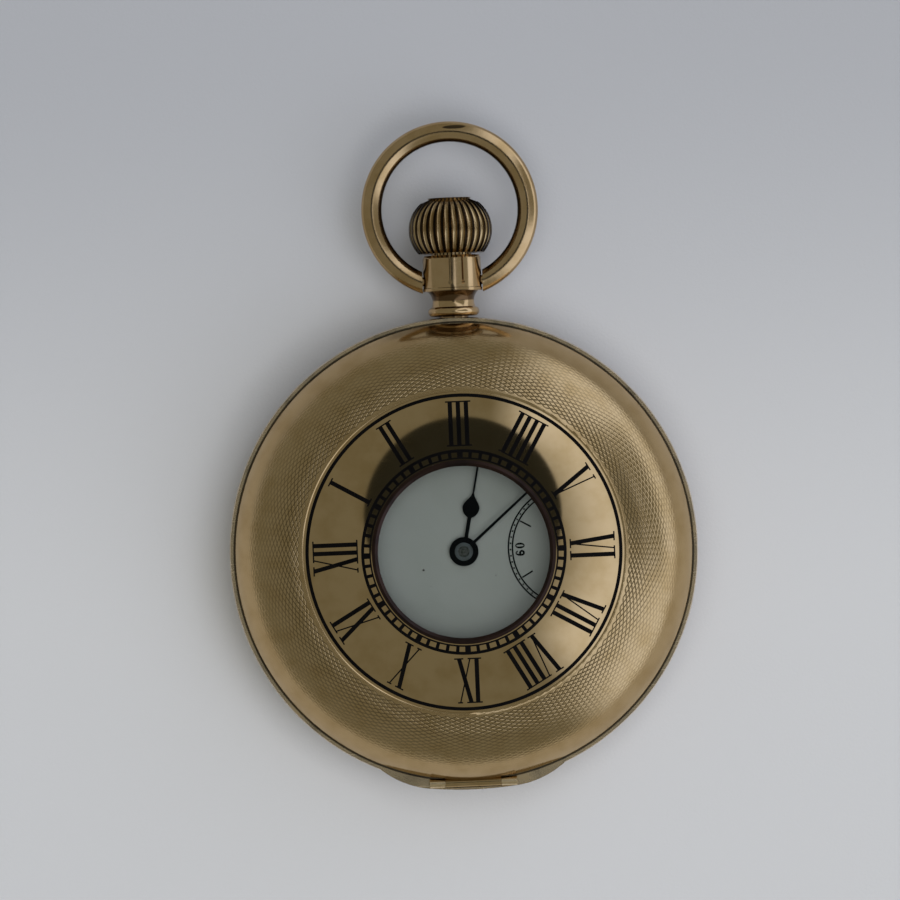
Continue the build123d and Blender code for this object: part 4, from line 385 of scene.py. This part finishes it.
@dataclass(frozen=True)
class Handled(Finish):
    """Metal with rings of another colour round a middle, and one mark, laid over its tone.

    The bow's inner ring and the pendant's foot ring and neck mark are painted shade; the band's ring is a
    dark joint line and the minute hand's a polished rivet. A ring has four radii: where it starts, is full,
    is still full and ends. The mark has its x, y, half width and half length, all in millimetres.
    """

    middle: tuple[float, float, float] = (0.0, 0.0, 0.0)
    rings: tuple[tuple[float, float, float, float], ...] = ()
    mark: tuple[float, float, float, float] | None = None
    mark_edge: tuple[float, float] = (1.1, 0.85)
    overlay_colour: str = "#241a0e"
    overlay_share: float = 0.85

    def tint(self, graph: Graph, place: Place, tone: Socket) -> Socket:
        """Lays the rings and the mark over the tone.

        Args:
            graph: The material's graph.
            place: Where on the piece.
            tone: The metal's colour.

        Returns:
            The colour with the rings and the mark.
        """
        away = graph.add("VectorMath", place.flat, self.middle, operation="DISTANCE").outputs["Value"]
        dark = None
        for start, full, still, end in self.rings:
            rise = graph.add("MapRange", away, start, full, **SMOOTH)
            fall = graph.add("MapRange", away, end, still, **SMOOTH)
            band = graph.add("Math", rise, fall, operation="MULTIPLY")
            dark = band if dark is None else graph.add("Math", dark, band, operation="MAXIMUM")
        if self.mark is not None:
            x, y, half_x, half_y = self.mark
            near = graph.add("VectorMath", place.flat, (x, y, 0.0), operation="SUBTRACT")
            near = graph.add("VectorMath", near, (1 / half_x, 1 / half_y, 0.0), operation="MULTIPLY")
            near = graph.add("VectorMath", near, operation="LENGTH").outputs["Value"]
            spot = graph.add("MapRange", near, *self.mark_edge, **SMOOTH)
            dark = graph.add("Math", dark, spot, operation="MAXIMUM")
        share = graph.add("Math", dark, self.overlay_share, operation="MULTIPLY")
        mixed = graph.add("Mix", share, data_type="RGBA",
                          named={COLOUR_A: tone, COLOUR_B: linear(self.overlay_colour)})
        return mixed.outputs[COLOUR_OUT]


@dataclass(frozen=True)
class Fluted(Finish):
    """The crown: gold, darker down the floors of its flutes."""

    overlay_colour: str = "#1d150c"
    flutes: int = 32
    axis_height: float = 5.5
    flute_floor_levels: tuple[float, float] = (0.1, 0.8)

    def tint(self, graph: Graph, place: Place, tone: Socket) -> Socket:
        """Darkens the flutes' floors, which lie at even steps round the crown's axis.

        Args:
            graph: The material's graph.
            place: Where on the crown.
            tone: The gold's colour.

        Returns:
            The colour with the flutes' floors darkened.
        """
        above = graph.add("Math", place.z, self.axis_height, operation="SUBTRACT")
        bearing = graph.add("Math", above, place.x, operation="ARCTAN2")
        ripple = graph.add("Math", graph.add("Math", bearing, float(self.flutes), operation="MULTIPLY"),
                           operation="COSINE")
        dark = graph.add("MapRange", ripple, *self.flute_floor_levels, **SMOOTH)
        mixed = graph.add("Mix", dark, data_type="RGBA", named={COLOUR_A: tone, COLOUR_B: linear(self.overlay_colour)})
        return mixed.outputs[COLOUR_OUT]


@dataclass(frozen=True)
class Enamel(Finish):
    """Fired glass enamel, with the odd speck baked into it and one small chip.

    A speck has one radius in the scattering's own cells and fades out by its edge; the chip has its x, y and
    radius in millimetres.
    """

    metallic: float = 0.0
    speck_scatter: float = 0.45
    specks: float = 0.02
    speck_edge: float = 1.6
    speck_colour: str = "#3b3933"
    chip: tuple[float, float, float] = (-4.36, -1.8, 0.12)
    chip_edge: tuple[float, float] = (1.2, 0.8)
    glaze: float = 0.6
    glaze_rough: float = 0.05

    def tint(self, graph: Graph, place: Place, tone: Socket) -> Socket:
        """Adds the specks and the chip.

        Args:
            graph: The material's graph.
            place: Where on the dial.
            tone: The enamel's colour.

        Returns:
            The colour with the specks and the chip.
        """
        cells = graph.add("TexVoronoi", place.point, named={"Scale": self.speck_scatter})
        near = graph.add("MapRange", cells.outputs["Distance"], self.specks * self.speck_edge, self.specks,
                         **SMOOTH)
        x, y, reach = self.chip
        away = graph.add("VectorMath", place.flat, (x, y, 0.0), operation="DISTANCE").outputs["Value"]
        chip = graph.add("MapRange", away, *(reach * edge for edge in self.chip_edge), **SMOOTH)
        near = graph.add("Math", near, chip, operation="MAXIMUM")
        mixed = graph.add("Mix", near, data_type="RGBA",
                          named={COLOUR_A: tone, COLOUR_B: linear(self.speck_colour)})
        return mixed.outputs[COLOUR_OUT]

    def shader(self, graph: Graph, colour: Socket, rough: Node, bump: Node) -> Node:
        """Enamel under its own clear glaze."""
        return graph.add("BsdfPrincipled", named={
            "Base Color": colour, "Roughness": rough, "Coat Weight": self.glaze,
            "Coat Roughness": self.glaze_rough, "Normal": bump})


@dataclass(frozen=True)
class Paint(Finish):
    """Matt black, as the fill of the engraved numerals and the dial's printing."""

    metallic: float = 0.0
    scratches: float = 0.02
    grain_depth: float = 0.0002
    sheen_level: float = 0.06

    def shader(self, graph: Graph, colour: Socket, rough: Node, bump: Node) -> Node:
        """Black with a weak gloss."""
        return graph.add("BsdfPrincipled", named={
            "Base Color": colour, "Roughness": rough, "Specular IOR Level": self.sheen_level, "Normal": bump})


@dataclass(frozen=True)
class Crystal(Finish):
    """Old watch glass: clear and mirroring by its angle. Lamps shine through it onto the dial."""

    scratches: float = 0.04
    grain_depth: float = 0.0
    clear: str = "#fafbfa"
    bend: float = 1.5

    def shader(self, graph: Graph, colour: Socket, rough: Node, bump: Node) -> Node:
        """What lies behind, mixed by Fresnel's law with a mirror, on the faces that look at the eye.

        Args:
            graph: The material's graph.
            colour: The mirror's colour.
            rough: The mirror's roughness.
            bump: The mirror's normal.

        Returns:
            The mixed shader.
        """
        mirror = super().shader(graph, colour, rough, bump)
        front = graph.add("Math", 1.0, graph.add("NewGeometry").outputs["Backfacing"], operation="SUBTRACT")
        share = graph.add("Math", graph.add("Fresnel", self.bend), front, operation="MULTIPLY")
        return graph.add("MixShader", share, graph.add("BsdfTransparent", linear(self.clear)), mirror)


@dataclass(frozen=True)
class Jewel(Finish):
    """Ruby: deep red and partly clear."""

    metallic: float = 0.0
    clear_share: float = 0.4
    bend: float = 1.77

    def shader(self, graph: Graph, colour: Socket, rough: Node, bump: Node) -> Node:
        """Red glass with a polished face."""
        return graph.add("BsdfPrincipled", named={
            "Base Color": colour, "Roughness": rough, "Transmission Weight": self.clear_share,
            "IOR": self.bend, "Normal": bump})


@dataclass(frozen=True)
class Worked(Finish):
    """A movement part with stripes, overlapping spots or turned rings ground into it.

    The pitch is the width of a stripe, a spot or a ring and the depth is the pattern's, in millimetres.
    """

    how: Grain = Grain.SPUN
    pitch: float = 1.3
    depth: float = 0.012
    spot_rings: float = 12.0

    def relief(self, graph: Graph, place: Place, height: Node) -> Node:
        """Grinds the pattern in at its real pitch.

        Args:
            graph: The material's graph.
            place: Where on the piece.
            height: The grain and the scratches.

        Returns:
            The height with the pattern.
        """
        if self.how is Grain.STRIPED:
            across = graph.add("Math", place.x, place.y, operation="ADD")
            steps = graph.add("Math", across, math.sqrt(0.5) / self.pitch, operation="MULTIPLY")
        elif self.how is Grain.SPOTTED:
            cell = graph.add("VectorMath", place.point, (self.pitch,) * 3, operation="MODULO")
            cell = graph.add("VectorMath", graph.add("VectorMath", cell, operation="ABSOLUTE"),
                             (self.pitch / 2, self.pitch / 2, 0.0), operation="SUBTRACT")
            flat = graph.add("VectorMath", cell, (1.0, 1.0, 0.0), operation="MULTIPLY")
            reach = graph.add("VectorMath", flat, operation="LENGTH").outputs["Value"]
            steps = graph.add("Math", reach, self.spot_rings / self.pitch, operation="MULTIPLY")
        else:
            steps = graph.add("Math", place.radius, 1 / self.pitch, operation="MULTIPLY")
        swell = graph.add("Math", steps, 0.5, operation="PINGPONG")
        return graph.add("Math", swell, self.depth, height, operation="MULTIPLY_ADD")


# Rolled gold, polished by hand: a warm mirror with hairline scratches and slow changes of tone
GOLD = Finish("polished_gold", "#bc9f74", "#ae9062", 0.16)
# The same on the bow, drawn and bent round: painted shade along its inner side and one dark mark at its top
BOW = Handled("polished_gold_bow_painted_shade", "#bc9f74", "#ae9062", 0.16, middle=(0.0, 36.5, 0.0),
              rings=((7.05, 7.12, 7.4, 7.62),), mark=(0.83, 45.29, 1.25, 0.2))
# The same on the band, painted paler than the other gold as a painted highlight: a dark joint line along the
# cover's edge
BAND = Handled("polished_gold_band_painted_highlight", "#dcc49c", "#cdb387", 0.24, rings=((24.3, 24.36, 24.5, 24.58),))
# The same on the pendant, turned: painted shade in brown where its foot meets the band and round its neck
PENDANT = Handled("turned_gold_pendant_painted_shade", "#bc9f74", "#ae9062", 0.15, rings=((25.0, 25.02, 25.15, 25.4),),
                  mark=(0.0, 27.3, 4.0, 0.6), overlay_colour="#412814")
# Engine turned gold: crossing bright cuts, darker along their floors, round a burnished zone that mirrors
COVER = EngineTurned("engine_turned_gold", "#ba9f73", "#ae9264", 0.14)
# Gold on the fluted crown: bright on the crests, darker brown down the flutes
CROWN = Fluted("fluted_gold_crown", "#b69b70", "#8a6d42", 0.24)
# The window ring, turned: a dull dark brown as painted shade in its sunken bevel, with a little warmth kept
SHADED_FRAME = Finish("window_ring_painted_shade", "#2c1d16", "#1a110d", 0.32, metallic=0.8)
# Black enamel in engraved numerals: nearly matt, so the numerals stay black in any light
BLACK = Paint("black_enamel_fill", "#040303", "#080605", 0.4)
# White vitreous enamel, fired and glazed, coloured a cool mid-grey as painted shade deep in the window:
# a sharp weak gloss and small baked specks
SHADED_WHITE = Enamel("white_enamel_painted_shade", "#a1a2a1", "#999b99", 0.16, mottle_mm=6.0, grain_depth=0.0002)
# Black fired on with a pad: fine flat lines a little softer than the numerals
INK = Paint("fired_black_print", "#08090a", "#121213", 0.45)
# Mineral glass, polished: clear from above, mirroring more as it turns away
GLASS = Crystal("mineral_glass", "#fbfdfc", "#f6f9f8", 0.03)
# Steel blued by heat: near black with a cold edge to its highlights
BLUED = Finish("blued_steel", "#11151c", "#0b0d12", 0.3)
# The same on the minute hand, with a bright polished rivet round its hole
HUB = Handled("blued_steel_hub", "#11151c", "#0b0d12", 0.4, rings=((-1.0, -0.9, 0.93, 1.0),), overlay_colour="#c9cfd0")
# Ground steel: grey with fine turned rings
STEEL = Worked("ground_steel", "#9a9a98", "#86857f", 0.26, pitch=0.09, depth=0.001)
# Brushed steel on the arbor ends: pale and soft, so it catches light from every side
CAP = Worked("brushed_steel", "#a9aaa3", "#6c6d66", 0.5, mottle_mm=0.3, pitch=0.12, depth=0.004)
# Nickel with straight ground stripes: bands that brighten and darken as the watch turns
STRIPED = Worked("nickel_striped", "#b9b7b0", "#a9a69c", 0.24, how=Grain.STRIPED, pitch=1.4, depth=0.05)
# Nickel with overlapping ground spots: small round sheens in rows
SPOTTED = Worked("nickel_spotted", "#b5b3ab", "#a5a297", 0.28, how=Grain.SPOTTED, pitch=1.0, depth=0.004)
# Brass wheels, turned and gilt: yellow with fine rings
BRASS = Worked("turned_brass", "#c8a45c", "#b08b45", 0.26, pitch=0.12, depth=0.0015)
# Ruby, ground and polished: small deep red drops of light
RUBY = Jewel("polished_ruby", "#a01030", "#7c0c26", 0.06)


@dataclass
class Dressed:
    """A sub-assembly of CAD nodes, with the finish of each and the materials made so far."""

    finishes: dict[str, Finish] = field(default_factory=dict)
    done: dict[str, bpy.types.Material] = field(default_factory=dict)

    def dress(self, nodes: dict[str, bpy.types.Object]) -> None:
        """Puts each node's finish on its object's material slots.

        Args:
            nodes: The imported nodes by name.
        """
        for name, finish in self.finishes.items():
            if finish.name not in self.done:
                self.done[finish.name] = finish.material()
            for slot in nodes[name].material_slots:
                slot.link = "OBJECT"
                slot.material = self.done[finish.name]
            LOG.info("%s: %s", name, finish.name)


def shared(finish: Finish, *names: str) -> dict[str, Finish]:
    """The same finish for several nodes."""
    return dict.fromkeys(names, finish)


@dataclass
class Case(Dressed):
    """Band, covers, pendant, bow and crown."""

    finishes: dict[str, Finish] = field(default_factory=lambda: {
        **shared(GOLD, "front_hinge_pin", "back_hinge_pin", "cuvette_hinge_pin", "inner_bezel",
                 "back_cover", "cuvette"),
        **shared(BOW, "bow"), **shared(BAND, "case_band"), **shared(PENDANT, "pendant"),
        **shared(COVER, "front_cover"), **shared(CROWN, "crown"),
        **shared(BLACK, "chapter_numerals", "chapter_track"),
        **shared(SHADED_FRAME, "window_bezel"), **shared(GLASS, "window_glass", "inner_crystal"),
        **shared(STEEL, "crown_sleeve", "lock_spring", "lift_spring", "case_screws", "spring_screws"),
    })


@dataclass
class Face(Dressed):
    """Dial, its printing and the hands."""

    finishes: dict[str, Finish] = field(default_factory=lambda: {
        **shared(SHADED_WHITE, "dial"), **shared(INK, "dial_print"),
        **shared(BLUED, "hour_hand", "seconds_hand"), **shared(HUB, "minute_hand"),
    })


@dataclass
class Movement(Dressed):
    """Plates, wheels, escapement and keyless work."""

    finishes: dict[str, Finish] = field(default_factory=lambda: {
        **shared(SPOTTED, "main_plate"),
        **shared(STRIPED, "barrel_bridge", "train_bridge", "balance_cock", "pallet_bridge"),
        **shared(RUBY, "plate_jewels", "bridge_jewels", "pallet_stones"),
        **shared(BLUED, "movement_screws", "hairspring", "mainspring"),
        **shared(BRASS, "third_wheel", "fourth_wheel", "balance_wheel", "barrel_drum",
                 "barrel_lid", "hour_wheel", "minute_wheel"),
        **shared(STEEL, "escape_wheel", "pallet_fork", "barrel_arbor", "ratchet_wheel", "crown_wheel",
                 "click", "click_spring", "winding_stem", "winding_pinion", "sliding_pinion",
                 "setting_lever", "setting_wheel", "regulator"),
        **shared(CAP, "cannon_pinion", "centre_wheel"),
    })


@dataclass(frozen=True)
class Softbox:
    """A square lamp aimed at the watch: where it hangs and its side in metres, and its power in watts."""

    name: str
    place: tuple[float, float, float]
    size: float
    watts: float

    def hang(self) -> None:
        """Makes the lamp, which neither the camera nor a mirror sees."""
        data = bpy.data.lights.new(self.name, "AREA")
        data.shape = "SQUARE"
        data.size = self.size
        data.energy = self.watts
        lamp = bpy.data.objects.new(self.name, data)
        lamp.location = self.place
        lamp.rotation_euler = (-Vector(self.place)).to_track_quat("-Z", "Y").to_euler()
        lamp.visible_camera = False
        lamp.visible_glossy = False
        bpy.context.scene.collection.objects.link(lamp)


@dataclass(frozen=True)
class Room:
    """The room that the gold mirrors: dim, with a window to the right behind a post, and a dark shade above.

    The window and the post have a bearing from +X and the half widths to their inner and outer edge, in
    degrees. A reach is how level a direction is, from 0 straight up to 1. The shade hangs overhead, off the
    vertical by its lean, and its edges are in degrees.
    """

    colour: str = "#777975"
    strength: float = 1.5
    window: tuple[float, float, float] = (7.0, 48.0, 70.0)
    window_reach: tuple[float, float] = (0.11, 0.21)
    window_colour: str = "#dee8ff"
    post: tuple[float, float, float] = (14.0, 16.0, 28.0)
    post_reach: tuple[tuple[float, float], ...] = ((0.2, 0.25), (0.93, 0.9))
    post_light: float = 0.02
    shade_lean: tuple[float, float] = (0.0019, 0.0363)
    shade_edges: tuple[float, float] = (7.9, 7.7)
    shade_colour: str = "#292c2c"

    def light(self) -> None:
        """Makes the world."""
        world = bpy.data.worlds.new("room")
        bpy.context.scene.world = world
        world.use_nodes = True
        graph = Graph(world.node_tree)
        way = graph.add("TexCoord").outputs["Generated"]
        lit = self.window_light(graph, way)
        colour = graph.add("Mix", lit, data_type="RGBA",
                           named={COLOUR_A: linear(self.colour), COLOUR_B: linear(self.window_colour)})
        up = Vector((*self.shade_lean, 1.0)).normalized()
        near = graph.add("VectorMath", way, tuple(up), operation="DOT_PRODUCT").outputs["Value"]
        edges = [math.cos(math.radians(edge)) for edge in self.shade_edges]
        dark = graph.add("MapRange", near, *edges, **SMOOTH)
        seen = graph.add("Mix", dark, data_type="RGBA",
                         named={COLOUR_A: colour.outputs[COLOUR_OUT], COLOUR_B: linear(self.shade_colour)})
        graph.add("OutputWorld", graph.add("Background", seen.outputs[COLOUR_OUT], self.strength))

    def window_light(self, graph: Graph, way: Socket) -> Node:
        """Opens the window and stands the post before it.

        Args:
            graph: The world's graph.
            way: The direction looked along.

        Returns:
            A node that is 1 in the window and 0 beside it.
        """
        flat = graph.add("VectorMath", way, (1.0, 1.0, 0.0), operation="MULTIPLY")
        reach = graph.add("VectorMath", flat, operation="LENGTH").outputs["Value"]
        heading = graph.add("VectorMath", flat, operation="NORMALIZE")
        low = graph.add("MapRange", reach, *self.window_reach, **SMOOTH)
        lit = graph.add("Math", self.towards(graph, heading, self.window), low, operation="MULTIPLY")
        post = self.towards(graph, heading, self.post)
        for ends in self.post_reach:
            end = graph.add("MapRange", reach, *ends, **SMOOTH)
            post = graph.add("Math", post, end, operation="MULTIPLY")
        past = graph.add("MapRange", post, 0.0, 1.0, 1.0, self.post_light)
        return graph.add("Math", lit, past, operation="MULTIPLY")

    def towards(self, graph: Graph, heading: Node, sector: tuple[float, float, float]) -> Node:
        """Marks a sector of the horizon.

        Args:
            graph: The world's graph.
            heading: The level unit vector looked along.
            sector: The middle's bearing from +X, and the half widths to the inner and outer edge, in degrees.

        Returns:
            A node that is 1 within the sector and 0 outside it.
        """
        middle, inner, outer = (math.radians(angle) for angle in sector)
        along = graph.add("VectorMath", heading, (math.cos(middle), math.sin(middle), 0.0),
                          operation="DOT_PRODUCT").outputs["Value"]
        return graph.add("MapRange", along, math.cos(outer), math.cos(inner), **SMOOTH)


@dataclass
class Studio:
    """Paper, lamps, the room's light and a camera straight above.

    The paper's size is in metres, its shading and its fibres in millimetres. The camera's frame comes from
    the photograph: its side and the case's middle in pixels, its scale, its roll, and the height that the
    scale is for.
    """

    paper_size: float = 6.0
    paper_cells: int = 8
    paper_near: str = "#bebdbc"
    paper_far: str = "#a3a3a5"
    paper_shading: tuple[float, float] = (-10.0, 60.0)
    paper_rough: float = 0.8
    fibres_per_mm: float = 3.0
    fibre_height: float = 0.02
    softboxes: tuple[Softbox, ...] = (
        Softbox("softbox_over", (0.1, -0.1, 1.1), 1.0, 7.4),
        Softbox("softbox_side", (0.6, -0.4, 0.8), 0.9, 2.4),
    )
    room: Room = Room()
    photo_pixels: int = 900
    mm_per_pixel: float = 0.1068
    case_pixel: tuple[float, float] = (463.8, 551.0)
    roll: float = math.radians(-2.4)
    lens: float = 300.0
    sensor: float = 36.0
    scale_height: float = 5.9

    def floor(self) -> None:
        """A sheet of pale paper, with painted shade that darkens it a little towards the picture's top."""
        bpy.ops.mesh.primitive_grid_add(x_subdivisions=self.paper_cells, y_subdivisions=self.paper_cells,
                                        size=self.paper_size)
        sheet = bpy.context.object
        sheet.name = "paper"
        # Matt paper: flat and pale, with fibres too small to see one by one that keep it from looking plastic
        material = bpy.data.materials.new("matt_paper")
        material.use_nodes = True
        graph = Graph(material.node_tree)
        point = graph.add("VectorMath", graph.add("TexCoord").outputs["Object"], operation="SCALE",
                          named={"Scale": PER_MM})
        along = graph.add("SeparateXYZ", point).outputs["Y"]
        fibre = graph.add("TexNoise", point, named={"Scale": self.fibres_per_mm, "Detail": 5.0})
        # Painted shade: the paper's colour darkens towards the picture's top, where less light falls
        shading = graph.add("MapRange", along, *self.paper_shading, **SMOOTH)
        colour = graph.add("Mix", shading, data_type="RGBA",
                           named={COLOUR_A: linear(self.paper_near), COLOUR_B: linear(self.paper_far)})
        bump = graph.add("Bump", named={"Strength": 1.0, "Distance": self.fibre_height * MM, "Height": fibre})
        shader = graph.add("BsdfPrincipled", named={
            "Base Color": colour.outputs[COLOUR_OUT], "Roughness": self.paper_rough, "Normal": bump})
        graph.add("OutputMaterial", shader)
        sheet.data.materials.append(material)

    def camera(self) -> None:
        """Straight above, with the photograph's roll and framing."""
        data = bpy.data.cameras.new("photograph")
        data.lens = self.lens
        data.sensor_width = self.sensor
        middle = self.photo_pixels / 2
        right = (middle - self.case_pixel[0]) * self.mm_per_pixel
        up = (self.case_pixel[1] - middle) * self.mm_per_pixel
        turn_cos, turn_sin = math.cos(self.roll), math.sin(self.roll)
        reach = self.photo_pixels * self.mm_per_pixel * self.lens / self.sensor
        eye = bpy.data.objects.new("photograph", data)
        eye.location = ((right * turn_cos - up * turn_sin) * MM, (right * turn_sin + up * turn_cos) * MM,
                        (reach + self.scale_height) * MM)
        eye.rotation_euler = (0.0, 0.0, self.roll)
        bpy.context.scene.collection.objects.link(eye)
        bpy.context.scene.camera = eye

    def build(self) -> None:
        """Sets the whole studio up."""
        bpy.context.scene.view_settings.view_transform = "Standard"
        self.floor()
        self.room.light()
        for softbox in self.softboxes:
            softbox.hang()
        self.camera()
        LOG.info("studio set up")


def main() -> None:
    """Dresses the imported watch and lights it."""
    logging.basicConfig(level=logging.INFO)
    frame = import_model()
    for part in (Case(), Face(), Movement()):
        part.dress(frame["nodes"])
    Studio().build()


if __name__ == "__main__":
    main()
